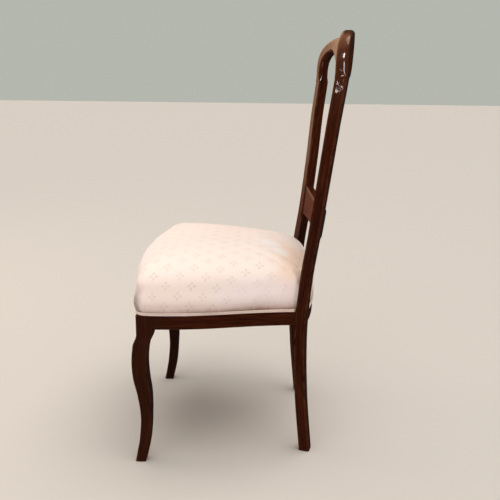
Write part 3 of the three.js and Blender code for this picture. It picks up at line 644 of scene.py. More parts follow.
def legCurves():
    levels = np.array(legPlan["levelShares"]) * legPlan["curveTop"]
    return [smoothThrough(levels, sum(np.array(shares) * legPlan[size] for size, shares in table.items()))
            for table in (legReachShares, legSpreadShares, legGirthShares)]


def makeLeg():
    plan, rebate, arris, showTop = legPlan, seatPlan["rebate"], seatPlan["railArris"], seatPlan["showTop"]
    reachAt, spreadAt, girthAt = legCurves()
    centreX = seatPlan["frontHalf"] - plan["block"] / 2
    centreY = -seatPlan["frontDepth"] + plan["block"] / 2
    fadeFrom = plan["levelShares"][-2] * plan["curveTop"]
    shiftUp, shiftBack = plan["grainShift"]
    # each ring's height, and how much its section grows
    heights = [(0, -plan["footRound"]), (plan["footRound"], 0)]
    heights += [(z, 0) for z in np.linspace(plan["firstRing"], plan["curveTop"], plan["rings"])]
    part = arris * plan["arrisShare"]
    heights += [(plan["blockRing"], 0), (showTop - arris, 0), (showTop - part, -part),
                (showTop, -arris), (showTop, -rebate), (seatPlan["railTop"], -rebate)]
    rings, wears, grains = [], [], []
    for z, grow in heights:
        curved = z <= plan["curveTop"]
        fade = 1 - float(easeStep(z, fadeFrom, plan["curveTop"]))
        size = float(girthAt(z)) if curved else plan["block"]
        outline, wear = roundedOutline(size + 2 * grow, size + 2 * grow, plan["arris"] * size / plan["block"])
        x = centreX + (float(spreadAt(z)) * fade if curved else 0)
        y = centreY - (float(reachAt(z)) * fade if curved else 0)
        ring = np.column_stack([x + outline[:, 0], y + outline[:, 1], np.full(len(outline), z)])
        rings.append(lowered(ring) if z > plan["fallFrom"] else ring)
        wears.append(wear)
        grains.append(plankPlaces(z + shiftUp, outline[:, 0], outline[:, 1] + shiftBack))
    return loftPiece("frontLegLeft", rings, wears, showWood, grains)


pairOf(makeLeg(), "front_leg")
print("legs ready")

# seat rails, rebated for the cover
railMaking = {
    "stations": 60, "roundSteps": 5, "flatInset": 0.004, "intoPost": 0.006, "rebateWear": 0.1,
    "frontGrain": 0.7, "sideGrain": 1.3, "backGrain": 2.1,
}


# the rail's section as (inwards, up, rubbed)
def railOutline(thickness):
    plan, inset, last = seatPlan, railMaking["flatInset"], railMaking["roundSteps"] - 1
    bottom, top, arris = plan["railBottom"], plan["showTop"], plan["railArris"]
    quarter = [step / last * math.pi / 2 for step in range(last + 1)]
    points = [(0, bottom + inset, 0), (0, (bottom + top) / 2, 0), (0, top - inset, 0)]
    points += [(arris - arris * math.cos(a), top - arris + arris * math.sin(a), 1) for a in quarter]
    points += [(plan["rebate"], top, railMaking["rebateWear"]), (plan["rebate"], plan["railTop"], 0),
               (thickness, plan["railTop"], 0), (thickness, bottom, 0), (arris + inset, bottom, 0)]
    return points + [(arris - arris * math.sin(a), bottom + arris - arris * math.cos(a), 1) for a in quarter]


def makeRail(name, thickness, start, end, place, grainShift):
    section = railOutline(thickness)
    stations = np.linspace(start, end, railMaking["stations"])
    rings = [[place(s, inward, z) for inward, z, _ in section] for s in stations]
    wears = [[rubbed for _, _, rubbed in section] for _ in stations]
    grains = [[(s + grainShift, z, inward + grainShift) for inward, z, _ in section] for s in stations]
    return loftPiece(name, lowered(rings), wears, showWood, grains)


def makeRails():
    thickness, into = seatPlan["railThickness"], railMaking["intoPost"]
    front = makeRail("frontSeatRail", thickness, -legInner, legInner,
                     lambda x, inward, z: (x, frontFace(x) + inward, z), railMaking["frontGrain"])
    single(front, "front_seat_rail")
    side = makeRail("sideSeatRailLeft", thickness, legBack, sideRear[1] + into,
                    lambda y, inward, z: (float(sideFace(y)) - inward, y, z), railMaking["sideGrain"])
    pairOf(side, "side_seat_rail")
    half = float(postSpread(seatPlan["showTop"])) - postPlan["width"] / 2 + into
    back = makeRail("backSeatRail", seatPlan["backRailThickness"], half, -half,
                    lambda x, inward, z: (*bowedPlane(x, seatPlan["showTop"], backFace - inward)[:2], z),
                    railMaking["backGrain"])
    single(back, "back_seat_rail")


makeRails()
print("rails ready")

# seat: outline of the upholstery and its skin
seatMaking = {
    "coverThickness": 0.004, "borderHeight": 0.044, "borderSwell": 0.008, "crown": 0.076, "tilt": 0.02,
    "crownFall": 0.013, "crownFallLength": 0.200, "crownForward": 0.051,
    "roundPlan": 3.05, "roundHeight": 2.95, "clearance": 0.0003,
    # how far the border swells out over the rail, by shares of its height
    "swellLevelShares": [0, 0.15, 0.27, 0.45, 0.78, 1], "swellShares": [0, 0, 0.6, 0.96, 0.71, 0.05],
    "rearSwell": 0.1,
}


# the seat's edge in plan, and the way outwards at each of its points
def seatOutline(inset, swell, parts):
    plan, corner = seatPlan, seatPlan["cornerRadius"]
    front = [(x, float(frontFace(x))) for x in np.linspace(0, legInner - corner, parts[0])]
    cx, cy = plan["frontHalf"] - corner, -plan["frontDepth"] + corner
    bend = [(cx + corner * math.cos(a), cy + corner * math.sin(a))
            for a in np.linspace(-math.pi / 2, 0, parts[1])]
    sideEnd = sideRear[1] + postPlan["depth"] / 4
    side = [(float(sideFace(y)), y) for y in np.linspace(legBack, sideEnd, parts[2])]
    rearOuter = float(postSpread(plan["showTop"])) - postPlan["width"] / 4
    rear = [tuple(bowedPlane(x, plan["showTop"], backFace)[:2]) for x in np.linspace(rearOuter, 0, parts[3])]
    right = front + bend + side + rear
    loop = np.array(right + [(-x, y) for x, y in right[-2:0:-1]])
    along = np.roll(loop, -1, axis=0) - np.roll(loop, 1, axis=0)
    along /= np.linalg.norm(along, axis=1)[:, None]
    outward = np.column_stack([along[:, 1], -along[:, 0]])
    left = 1 - (1 - seatMaking["rearSwell"]) * easeStep(loop[:, 1], 0, sideRear[1])
    return loop + outward * (swell * left - inset)[:, None], outward


# rings from the tacked edge up the border and in to the crown, with the point on top
def skinRings(inset, bottom, borderRings, domeRings, parts):
    making = seatMaking
    low, top = seatPlan["showTop"] + making["clearance"], seatPlan["showTop"] + making["borderHeight"]
    swellAt = smoothThrough(making["swellLevelShares"], making["swellShares"])
    rings = []
    for z in np.linspace(bottom, top, borderRings):
        share = max((z - low) / (top - low), 0)
        loop, outward = seatOutline(inset, float(swellAt(share)) * making["borderSwell"], parts)
        rings.append(np.column_stack([loop, np.full(len(loop), z)]))
    edge, outward = seatOutline(inset, making["swellShares"][-1] * making["borderSwell"], parts)
    centre = np.array([0, -making["crownForward"]])

    def crownPoints(plan, lift):
        away = plan[:, 1] + making["crownForward"]
        fall = making["tilt"] * away + making["crownFall"] * (away / making["crownFallLength"]) ** 2
        return np.column_stack([plan, top + (making["crown"] - inset - fall) * lift])

    for angle in np.linspace(0, math.pi / 2, domeRings + 2)[1:-1]:
        reach = math.cos(angle) ** (2 / making["roundPlan"])
        lift = math.sin(angle) ** (2 / making["roundHeight"])
        rings.append(crownPoints(centre + (edge - centre) * reach, lift))
    return np.array(rings), crownPoints(centre[None, :], 1.0)[0], outward


# where each point lies on the uncut cloth: its place in plan, moved out by what the slope takes up
def flatPlace(rings, outward):
    step = np.diff(rings, axis=0)
    taken = np.linalg.norm(step, axis=2) - np.linalg.norm(step[..., :2], axis=2)
    total = np.zeros(rings.shape[:2])
    total[:-1] = np.cumsum(taken[::-1], axis=0)[::-1]
    flat = rings[..., :2] + outward[None] * total[..., None]
    return np.dstack([flat, rings[..., 2]])


# a thread wanders a little, dips under the next by a share, and carries its tone a long way;
# the shift keeps the numbers of the threads above zero
weaveLook = {
    "wanderScale": 90.0, "under": 0.45, "over": 0.55, "drawnOut": 0.03, "toneScale": 0.45, "shift": 20000.0,
    "toneSpan": (0.3, 0.7), "gapSpan": (0.30, 0.06), "gapShade": 0.25, "stripeEdges": (1.15, 0.85),
    "stripeAmount": 0.85, "soilScale": 18.0, "soilSpan": (0.45, 0.75), "soilShade": 0.5, "smoother": 0.06,
    "specular": 0.2, "strength": 0.8,
}


# one thread of a plain weave over or under the next, from a flat place on the cloth
def weaveGroup():
    tree, source, sink = nodeGroup("plainWeave", {"Place": None, "Pitch": 0.0008, "Slub": 0.5},
                                   ("Height", "Tone"))
    w, look = Wires(tree), weaveLook
    place, pitch = source.outputs["Place"], source.outputs["Pitch"]
    x, y, _ = w.split(place)
    wander = w.times(w.noise(place, look["wanderScale"], detail=2), w.times(pitch, source.outputs["Slub"]))
    u = w.divide(w.add(x, wander), pitch)
    v = w.divide(w.add(y, wander), pitch)
    warp = w.absolute(w.math("SINE", w.times(u, math.pi)))
    weft = w.absolute(w.math("SINE", w.times(v, math.pi)))
    parity = w.math("MODULO", w.add(w.math("FLOOR", u), w.add(w.math("FLOOR", v), look["shift"])), 2.0)
    over = w.times(warp, w.add(look["under"], w.times(weft, look["over"])))
    under = w.times(weft, w.add(look["under"], w.times(warp, look["over"])))
    height = w.add(w.times(over, parity), w.times(under, w.minus(1.0, parity)))
    toneScale = w.divide(look["toneScale"], pitch)
    alongX = w.noise(w.join(w.times(x, look["drawnOut"]), y, 0.0), toneScale, detail=2)
    alongY = w.noise(w.join(x, w.times(y, look["drawnOut"]), 0.5), toneScale, detail=2)
    w.put(sink.inputs["Height"], height)
    w.put(sink.inputs["Tone"], w.times(w.add(alongX, alongY), 0.5))
    return tree


plainWeave = weaveGroup()
coverCloth = {
    "cream": (0.925, 0.790, 0.705), "motif": (0.740, 0.590, 0.530), "motifAmount": 0.66,
    "pale": (0.930, 0.860, 0.820), "stain": (0.900, 0.625, 0.440), "cool": (0.905, 0.795, 0.785),
    # the soiled colours along the welt also stand for painted shade where the cloth turns under
    "soilAndShade": (0.400, 0.310, 0.290), "rearSoilAndShade": (0.290, 0.160, 0.100), "dirt": (0.270, 0.190, 0.160),
    "roughness": 0.66, "satin": 0.48, "sheen": 0.22, "sheenRoughness": 0.45, "specular": 0.3,
    "thread": 0.0007, "slub": 0.6, "threadRelief": 0.00016, "motifRelief": 0.00022,
    "rowPitch": 0.0522, "columnPitch": 0.0202, "lean": 0.103, "rowStart": -0.133, "columnStart": 0.283,
    "petalOut": 0.0058, "petalLong": 0.0036, "petalWide": 0.0025, "petalEdge": (1.35, 0.55),
    "cloudScale": 22.0, "speckScale": 240.0, "faintSpan": (0.30, 0.62), "faintShares": (0.6, 1.1),
    "toneSpan": (0.30, 0.70), "toneAmount": 0.35, "toneShade": 0.90, "threadStrength": 0.55,
    "speckRelief": 0.35, "motifStrength": 0.6,
}
# each mark on the cover has the two places between which it comes up, its strength, and how cloud or speck
# break it up: between two values of theirs, from one share of it to another
clothMarks = {
    "wander": 0.05, "warmRight": (0.10, -0.02), "warmAmount": 0.12, "warmBreak": (0.3, 0.7, 0.6, 1.0),
    "stainBreak": (0.25, 0.75, 0.75, 1.0), "soilShadeBreak": (0.3, 0.7, 0.82, 1.0),
    "cornerBreak": (0.3, 0.65, 0.55, 1.0), "spotWander": 0.55, "heightWander": 0.3,
    "stainRear": (0.055, 0.130), "stainLeft": (-0.06, 0.05), "stainEnd": (0.222, 0.190), "stainAmount": 0.80,
    "paleSpots": [((0.036, 0.072), 0.044), ((0.080, 0.092), 0.038)], "paleAmount": 0.85,
    "coolFront": (-0.160, -0.230), "coolRear": (-0.08, 0.04), "coolHeight": (0.085, 0.050),
    "coolAmount": 0.70,
    # the band above the welt is soil and painted shade where the cloth turns under
    "soilShadeHeight": (0.045, 0.004), "soilShadeAmount": 0.36, "weltHeight": (0.018, 0.002), "weltSoilShadeAmount": 0.60,
    "rearSide": (-0.05, 0.07), "rearHeight": (0.030, 0.012), "rearAmount": 0.20, "rearTint": (-0.20, 0.05),
    "cornerPlace": (0.255, -0.240), "cornerReach": (0.010, 0.060),
}


# four small petals round an open middle, in staggered rows that run a little askew on the cloth
def petalFigure(w, x, y):
    cloth = coverCloth
    row = w.divide(w.minus(y, cloth["rowStart"]), cloth["rowPitch"])
    leaning = w.times(w.minus(y, cloth["rowStart"]), cloth["lean"])
    column = w.divide(w.minus(w.minus(cloth["columnStart"], x), leaning), cloth["columnPitch"])
    half = w.times(column, 0.5)
    a, b = w.add(row, half), w.minus(row, half)
    a = w.minus(a, w.math("ROUND", a))
    b = w.minus(b, w.math("ROUND", b))
    along = w.absolute(w.times(w.add(a, b), cloth["rowPitch"] / 2))
    across = w.absolute(w.times(w.minus(a, b), cloth["columnPitch"]))

    def petal(outward, sideways):
        long = w.divide(w.minus(outward, cloth["petalOut"]), cloth["petalLong"])
        wide = w.divide(sideways, cloth["petalWide"])
        return w.add(w.times(long, long), w.times(wide, wide))

    return w.span(w.math("MINIMUM", petal(along, across), petal(across, along)), *cloth["petalEdge"])


def spotMask(w, x, y, centre, inner, outer, rough):
    dx, dy = w.minus(x, centre[0]), w.minus(y, centre[1])
    away = w.math("SQRT", w.add(w.times(dx, dx), w.times(dy, dy)))
    return w.ease(w.add(away, rough), outer, inner)


def markedColour(w, colour, place, cloud, speck):
    cloth, marks = coverCloth, clothMarks
    x, y, z = w.split(place)
    uneven = w.times(w.minus(cloud, 0.5), marks["wander"])
    nearX, nearY = w.add(x, uneven), w.add(y, uneven)
    warm = w.times(w.ease(x, *marks["warmRight"], 0.0, marks["warmAmount"]),
                   w.span(cloud, *marks["warmBreak"]))
    colour = w.mix(warm, colour, cloth["stain"])
    # an old water stain at the rear left, with two pale patches on its rim
    stain = w.times(w.ease(nearY, *marks["stainRear"]), w.ease(nearX, *marks["stainLeft"]))
    stain = w.times(w.times(stain, w.ease(nearX, *marks["stainEnd"])), w.span(speck, *marks["stainBreak"]))
    colour = w.mix(w.times(stain, marks["stainAmount"]), colour, cloth["stain"])
    drift = w.times(uneven, marks["spotWander"])
    pale = w.larger(*[spotMask(w, x, y, middle, 0.0, reach, drift) for middle, reach in marks["paleSpots"]])
    colour = w.mix(w.times(pale, marks["paleAmount"]), colour, cloth["pale"])
    # greyer at the front, and low down at the rear
    fromRail = w.add(w.minus(z, seatPlan["showTop"]), w.times(uneven, marks["heightWander"]))
    lowRear = w.times(w.ease(nearY, *marks["coolRear"]), w.ease(fromRail, *marks["coolHeight"]))
    cool = w.larger(w.ease(nearY, *marks["coolFront"]), lowRear)
    colour = w.mix(w.times(cool, marks["coolAmount"]), colour, cloth["cool"])
    # soil and painted shade along the welt, browner and higher at the rear; dirt on the front left corner
    soilAndShade = w.add(w.ease(fromRail, *marks["soilShadeHeight"], 0.0, marks["soilShadeAmount"]),
                 w.ease(fromRail, *marks["weltHeight"], 0.0, marks["weltSoilShadeAmount"]))
    rear = w.times(w.ease(nearY, *marks["rearSide"]),
                   w.ease(fromRail, *marks["rearHeight"], 0.0, marks["rearAmount"]))
    soilAndShade = w.times(w.add(soilAndShade, rear), w.span(speck, *marks["soilShadeBreak"]))
    soiledAndShaded = w.mix(w.ease(y, *marks["rearTint"]), cloth["soilAndShade"], cloth["rearSoilAndShade"])
    colour = w.mix(soilAndShade, colour, soiledAndShaded)
    corner = w.times(spotMask(w, x, y, marks["cornerPlace"], *marks["cornerReach"], uneven),
                     w.span(speck, *marks["cornerBreak"]))
    return w.mix(corner, colour, cloth["dirt"])


def damaskMaterial():
    cloth = coverCloth
    material, w, surface = newMaterial("creamDamask", cloth["cream"])
    place = w.attribute("clothPlace").outputs["Vector"]
    x, y, _ = w.split(place)
    figure = petalFigure(w, x, y)
    weave = useGroup(w, plainWeave, Place=place, Pitch=cloth["thread"], Slub=cloth["slub"])
    cloud = w.noise(place, cloth["cloudScale"], detail=4, roughness=0.6)
    speck = w.noise(place, cloth["speckScale"], detail=3, roughness=0.65)
    amounts = [cloth["motifAmount"] * share for share in cloth["faintShares"]]
    faint = w.span(cloud, *cloth["faintSpan"], *amounts)
    colour = w.mix(w.times(figure, faint), cloth["cream"], cloth["motif"])
    tone = w.span(weave["Tone"], *cloth["toneSpan"], 0.0, cloth["toneAmount"])
    colour = w.mix(tone, colour, tuple(c * cloth["toneShade"] for c in cloth["cream"]))
    threads = w.bump(weave["Height"], cloth["threadRelief"], cloth["threadStrength"])
    height = w.add(figure, w.times(speck, cloth["speckRelief"]))
    w.dress(surface, {
        "Base Color": markedColour(w, colour, place, cloud, speck),
        "Roughness": w.span(figure, 0.0, 1.0, cloth["roughness"], cloth["satin"]),
        "Sheen Weight": cloth["sheen"], "Sheen Roughness": cloth["sheenRoughness"],
        "Specular IOR Level": cloth["specular"],
        "Normal": w.bump(height, cloth["motifRelief"], cloth["motifStrength"], threads),
    })
    return material


def wovenMaterial(name, values, mark):
    look = weaveLook
    material, w, surface = newMaterial(name, values["thread"])
    place = w.attribute(mark).outputs["Vector"]
    weave = useGroup(w, plainWeave, Place=place, Pitch=values["pitch"], Slub=values["slub"])
    colour = w.mix(w.span(weave["Tone"], *look["toneSpan"]), values["thread"], values["fleck"])
    if "stripe" in values:
        edge = w.absolute(w.minus(w.absolute(w.split(place)[1]), values["stripeAt"]))
        striped = w.span(edge, *(values["stripeHalf"] * share for share in look["stripeEdges"]))
        colour = w.mix(w.times(striped, look["stripeAmount"]), colour, values["stripe"])
    # painted shade: the low places between the threads are darkened
    gap = w.times(w.span(weave["Height"], *look["gapSpan"]), values["gap"])
    colour = w.mix(gap, colour, tuple(c * look["gapShade"] for c in values["thread"]))
    soilAndShade = w.span(w.noise(place, look["soilScale"], detail=3), *look["soilSpan"], 0.0, values["soilAndShade"])
    w.dress(surface, {
        "Base Color": w.mix(soilAndShade, colour, tuple(c * look["soilShade"] for c in values["fleck"])),
        "Roughness": w.span(weave["Tone"], *look["toneSpan"], values["roughness"] - look["smoother"],
                            values["roughness"]),
        "Specular IOR Level": look["specular"], "Sheen Weight": values["sheen"],
        "Normal": w.bump(weave["Height"], values["relief"], look["strength"]),
    })
    return material


damask = damaskMaterial()
weltCloth = wovenMaterial("creamWelt", {
    "thread": (0.82, 0.690, 0.605), "fleck": (0.72, 0.580, 0.500), "pitch": 0.0007, "slub": 0.5, "gap": 0.25,
    "soilAndShade": 0.30, "roughness": 0.75, "sheen": 0.2, "relief": 0.00012}, "weltPlace")
wadding = wovenMaterial("whiteWadding", {
    "thread": (0.80, 0.775, 0.72), "fleck": (0.70, 0.66, 0.58), "pitch": 0.0030, "slub": 2.5, "gap": 0.10,
    "soilAndShade": 0.15, "roughness": 0.95, "sheen": 0.4, "relief": 0.0006}, "clothPlace")
jute = wovenMaterial("juteWebbing", {
    "thread": (0.400, 0.265, 0.140), "fleck": (0.260, 0.165, 0.085), "pitch": 0.0021, "slub": 0.7,
    "gap": 0.75, "stripe": (0.120, 0.028, 0.018), "stripeAt": 0.0175, "stripeHalf": 0.0021,
    "soilAndShade": 0.40, "roughness": 0.92, "sheen": 0.15, "relief": 0.0006}, "strapPlace")
hessian = wovenMaterial("hessian", {
    "thread": (0.440, 0.310, 0.175), "fleck": (0.300, 0.200, 0.105), "pitch": 0.0016, "slub": 0.9,
    "gap": 0.90, "soilAndShade": 0.35, "roughness": 0.94, "sheen": 0.15, "relief": 0.0005}, "clothPlace")

steel = {
    "bright": (0.46, 0.45, 0.43), "rust": (0.13, 0.055, 0.025), "roughness": 0.42, "rustRoughness": 0.85,
    "rustScale": 420.0, "rustSpan": (0.50, 0.66), "scratchScale": 900.0, "scratch": 0.0001,
}


def steelMaterial():
    material, w, surface = newMaterial("screwSteel", steel["bright"])
    place = w.node("ShaderNodeTexCoord").outputs["Object"]
    rust = w.span(w.noise(place, steel["rustScale"], detail=4, roughness=0.7), *steel["rustSpan"])
    w.dress(surface, {
        "Base Color": w.mix(rust, steel["bright"], steel["rust"]),
        "Roughness": w.span(rust, 0, 1, steel["roughness"], steel["rustRoughness"]),
        "Metallic": 1.0,
        "Normal": w.bump(w.noise(place, steel["scratchScale"], detail=2), steel["scratch"], 0.5),
    })
    return material


# corner blocks, screws and dowels show the frame's own solids
screwSteel = steelMaterial()
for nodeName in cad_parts:
    node = bpy.data.objects.get(nodeName)
    if node is None or not any(word in nodeName for word in ("block", "dowel")):
        continue
    isScrew = "screw" in nodeName
    node.data.materials.clear()
    node.data.materials.append(screwSteel if isScrew else blockWood)
print("materials ready")

# seat cover: a drawn-over skin with its lining, tucked in round the posts
coverMaking = {
    "parts": (56, 14, 100, 50), "borderRings": 30, "domeRings": 84, "liningRings": (8, 22),
    "profileSpread": 0.009, "profileKeep": 0.014, "heldBelow": 0.010,
    "lumps": 0.0008, "lumpSize": 0.070, "lumpSeed": 3.1,
    "crinkle": 0.00022, "crinkleSize": 0.022, "crinkleSeed": 8.3,
    # puckers and pleats: between which heights above the welt they come up and go again
    "pucker": 0.00055, "puckerLength": 0.013, "puckerUp": (0.001, 0.005), "puckerDown": (0.006, 0.024),
    "puckerSeed": 4.2,
    "pleat": 0.0008, "pleatPitch": 0.0105, "pleatReach": 0.022, "pleatUp": (0.001, 0.006),
    "pleatDown": (0.008, 0.030),
    # creases that run out like a star from beside each post, and folds drawn tight along the side there
    "star": 0.0008, "starPlace": (0.118, 0.142), "starReach": 0.034, "starRays": 9, "starTurn": 0.8,
    "starOpen": (0.002, 0.014),
    "fold": 0.0008, "foldAt": (0.103, 0.113), "foldHalf": 0.0032, "foldSlant": 0.15, "foldMiddle": 0.2,
    "foldFrom": (0.175, 0.195), "foldTo": (0.225, 0.250), "foldWeaker": 0.25,
    # rises of the crown: place across and along, half width and depth, height
    "rises": [(0.113, 0.136, 0.030, 0.026, 0.005), (0.0, 0.062, 0.150, 0.045, 0.0045),
              (0.0, -0.115, 0.120, 0.045, -0.002)],
    "risesFrom": (0.6, 1.4),  # between which shares of the border's height they come up
    "tuck": 0.0045, "tuckReach": 0.0045, "tuckHeight": (0.002, 0.012), "postGap": 0.0006,
    "smoothAngle": 50,
}


# out and back from the middle of the nearer post, in the post's own turned section
def postLocal(points):
    dx = np.abs(points[..., 0]) - postSpread(points[..., 2])
    dy = points[..., 1] - postBack(points[..., 2])
    turn = postPlan["turn"]
    return dx * np.cos(turn) - dy * np.sin(turn), dx * np.sin(turn) + dy * np.cos(turn)


def postDistance(points):
    out, back = postLocal(points)
    aside = np.maximum(np.abs(out) - postPlan["width"] / 2, 0)
    ahead = np.maximum(np.abs(back) - postPlan["depth"] / 2, 0)
    return np.hypot(aside, ahead)


def clearOfPosts(points):
    gap, turn = coverMaking["postGap"], postPlan["turn"]
    points = points.copy()
    out, back = postLocal(points)
    fromInner, fromFront = out + postPlan["width"] / 2 + gap, back + postPlan["depth"] / 2 + gap
    inside = ((fromInner > 0) & (fromFront > 0) & (out < postPlan["width"] / 2 + gap)
              & (back < postPlan["depth"] / 2 + gap))
    byInner = inside & (fromInner < fromFront)
    byFront = inside & ~byInner
    newOut = np.where(byInner, out - fromInner, out)
    newBack = np.where(byFront, back - fromFront, back)
    dx = newOut * np.cos(turn) + newBack * np.sin(turn)
    dy = -newOut * np.sin(turn) + newBack * np.cos(turn)
    sign = np.where(points[..., 0] < 0, -1, 1)
    points[..., 0] = np.where(inside, sign * (postSpread(points[..., 2]) + dx), points[..., 0])
    points[..., 1] = np.where(inside, postBack(points[..., 2]) + dy, points[..., 1])
    return points


def gridNormals(points):
    around = np.roll(points, -1, axis=1) - np.roll(points, 1, axis=1)
    upward = np.gradient(points, axis=0)
    normals = np.cross(around, upward)
    return normals / np.maximum(np.linalg.norm(normals, axis=2), 1e-12)[..., None]


def noiseField(places, size, seed):
    flat = places.reshape(-1, 3) / size
    values = [noise.noise(Vector(p) + Vector((seed, seed * 0.7, 0))) for p in flat]
    return np.array(values).reshape(places.shape[:-1])


# soft lumps, puckers over the welt, pleats at the front corners, tension folds at the rear ones
def coverRelief(rings, flat):
    making = coverMaking
    above = rings[..., 2] - (seatPlan["showTop"] + seatMaking["clearance"])
    held = easeStep(above, 0, making["heldBelow"])
    relief = making["lumps"] * noiseField(flat, making["lumpSize"], making["lumpSeed"]) * held
    relief += making["crinkle"] * noiseField(flat, making["crinkleSize"], making["crinkleSeed"]) * held
    run = np.linalg.norm(np.diff(rings[0], axis=0, append=rings[0][:1]), axis=1)
    along = np.concatenate([[0], np.cumsum(run)[:-1]])
    length, seed = making["puckerLength"], making["puckerSeed"]
    ripples = np.array([noise.noise(Vector((s / length, seed, 0))) for s in along])
    onBorder = easeStep(above, *making["puckerUp"]) * (1 - easeStep(above, *making["puckerDown"]))
    relief += making["pucker"] * ripples[None] * onBorder
    onCorner = easeStep(above, *making["pleatUp"]) * (1 - easeStep(above, *making["pleatDown"]))
    for side in (1, -1):
        fromCorner = np.hypot(rings[0, :, 0] - side * seatPlan["frontHalf"],
                              rings[0, :, 1] + seatPlan["frontDepth"])
        gap = along - along[int(np.argmin(fromCorner))]
        wave = np.cos(2 * np.pi * gap / making["pleatPitch"]) * np.exp(-(gap / making["pleatReach"]) ** 2)
        relief += making["pleat"] * wave[None] * onCorner
    for side in (1, -1):
        fx, fy = side * flat[..., 0], flat[..., 1]
        dx, dy = fx - making["starPlace"][0], fy - making["starPlace"][1]
        away = np.hypot(dx, dy)
        rays = np.sin(making["starRays"] * np.arctan2(dy, dx) + making["starTurn"] * side)
        rays = rays * np.exp(-away / making["starReach"])
        relief += making["star"] * rays * easeStep(away, *making["starOpen"]) * (fx > 0)
        window = easeStep(fx, *making["foldFrom"]) * (1 - easeStep(fx, *making["foldTo"]))
        for number, at in enumerate(making["foldAt"]):
            slanted = fy - at + making["foldSlant"] * (fx - making["foldMiddle"])
            ridge = np.exp(-(slanted / making["foldHalf"]) ** 2)
            relief += making["fold"] * (1 - making["foldWeaker"] * number) * ridge * window
    return relief


# evens out each line from the lower edge to the crown, so that border and crown meet without a crease
def smoothedProfile(rings, spread, keep):
    count = rings.shape[0]
    steps = np.linalg.norm(np.diff(rings, axis=0), axis=2)
    lengths = np.concatenate([np.zeros((1, rings.shape[1])), np.cumsum(steps, axis=0)])
    even = np.linspace(0, 1, count)
    out = np.empty_like(rings)
    for i in range(rings.shape[1]):
        share = lengths[:, i] / lengths[-1, i]
        for axis in range(3):
            out[:, i, axis] = np.interp(even, share, rings[:, i, axis])
    gap = lengths[-1].mean() / (count - 1)
    reach = int(3 * spread / gap)
    weights = np.exp(-0.5 * (np.arange(-reach, reach + 1) * gap / spread) ** 2)
    padded = np.concatenate([2 * out[:1] - out[reach:0:-1], out, 2 * out[-1:] - out[-2:-reach - 2:-1]])
    soft = sum(weight * padded[k:k + count] for k, weight in enumerate(weights / weights.sum()))
    share = easeStep(even * lengths[-1].mean(), 0, keep)[:, None, None]
    return out + (soft - out) * share


clothTrial = {
    "pressure": 4.0, "frames": 20, "cap": 0.012, "slack": 0.008, "tension": 60.0, "shear": 12.0,
    "bending": 0.30, "mass": 0.30, "quality": 7, "heldHeight": 0.004, "heldByPost": 0.004,
    "spread": 3.5, "swellKept": 0.10, "share": 0.35,
}


def softened(values, spread):
    reach = int(3 * spread)
    weights = np.exp(-0.5 * (np.arange(-reach, reach + 1) / spread) ** 2)
    weights /= weights.sum()
    rows = np.pad(values, ((reach, reach), (0, 0), (0, 0)), mode="edge")
    values = sum(weight * rows[k:k + values.shape[0]] for k, weight in enumerate(weights))
    return sum(weight * np.roll(values, k - reach, axis=1) for k, weight in enumerate(weights))


# blows the skin up as real cloth, held at its tacked edge and round the posts, and gives each point's move;
# of the folds and of the even swelling only a share is kept, so that the outline stays
def clothFolds(rings, pole):
    trial = clothTrial
    count, size = rings.shape[:2]
    points = np.concatenate([rings.reshape(-1, 3), [pole]])
    faces = ringFaces(count, size, 0) + fanFaces((count - 1) * size, count * size, size)
    skin = newPiece("skinTrial", points, faces, damask, 180)
    above = points[:, 2] - rings[0, 0, 2]
    byPost = postDistance(lowered(points)) < trial["heldByPost"]
    held = np.flatnonzero((above < trial["heldHeight"]) | byPost)
    group = skin.vertex_groups.new(name="held")
    group.add([int(i) for i in held], 1.0, "REPLACE")
    modifier = skin.modifiers.new("cloth", "CLOTH")
    cloth = modifier.settings
    cloth.quality, cloth.mass = trial["quality"], trial["mass"]
    cloth.tension_stiffness = cloth.compression_stiffness = trial["tension"]
    cloth.shear_stiffness, cloth.bending_stiffness = trial["shear"], trial["bending"]
    cloth.use_pressure, cloth.uniform_pressure_force = True, trial["pressure"]
    cloth.shrink_min = -trial["slack"]
    cloth.vertex_group_mass = "held"
    cloth.effector_weights.gravity = 0
    modifier.point_cache.frame_start, modifier.point_cache.frame_end = 1, trial["frames"]
    for step in range(1, trial["frames"] + 1):
        bpy.context.scene.frame_set(step)
    result = skin.evaluated_get(bpy.context.evaluated_depsgraph_get()).data
    moved = np.empty(len(points) * 3, np.float32)
    result.vertices.foreach_get("co", moved)
    moved = moved.reshape(-1, 3)[:-1].reshape(rings.shape) - rings
    bpy.data.objects.remove(skin, do_unlink=True)
    bpy.context.scene.frame_set(1)
    travel = np.linalg.norm(moved, axis=2)
    moved *= np.minimum(1, trial["cap"] / np.maximum(travel, 1e-9))[..., None]
    swelling = softened(moved, trial["spread"])
    folds = (moved - swelling * (1 - trial["swellKept"])) * trial["share"]
    print("cloth travel", round(float(travel.mean()), 5), round(float(travel.max()), 5),
          "folds", round(float(np.abs(folds).max()), 5))
    return folds


# brings moves found on every second point to all of them
def spreadOver(values, count, size):
    rows = np.minimum(np.arange(count) / 2, values.shape[0] - 1)
    low = np.minimum(rows.astype(int), values.shape[0] - 2)
    share = (rows - low)[:, None, None]
    tall = values[low] * (1 - share) + values[low + 1] * share
    columns = np.arange(size) / 2
    left = columns.astype(int)
    share = (columns - left)[None, :, None]
    return tall[:, left] * (1 - share) + tall[:, (left + 1) % values.shape[1]] * share


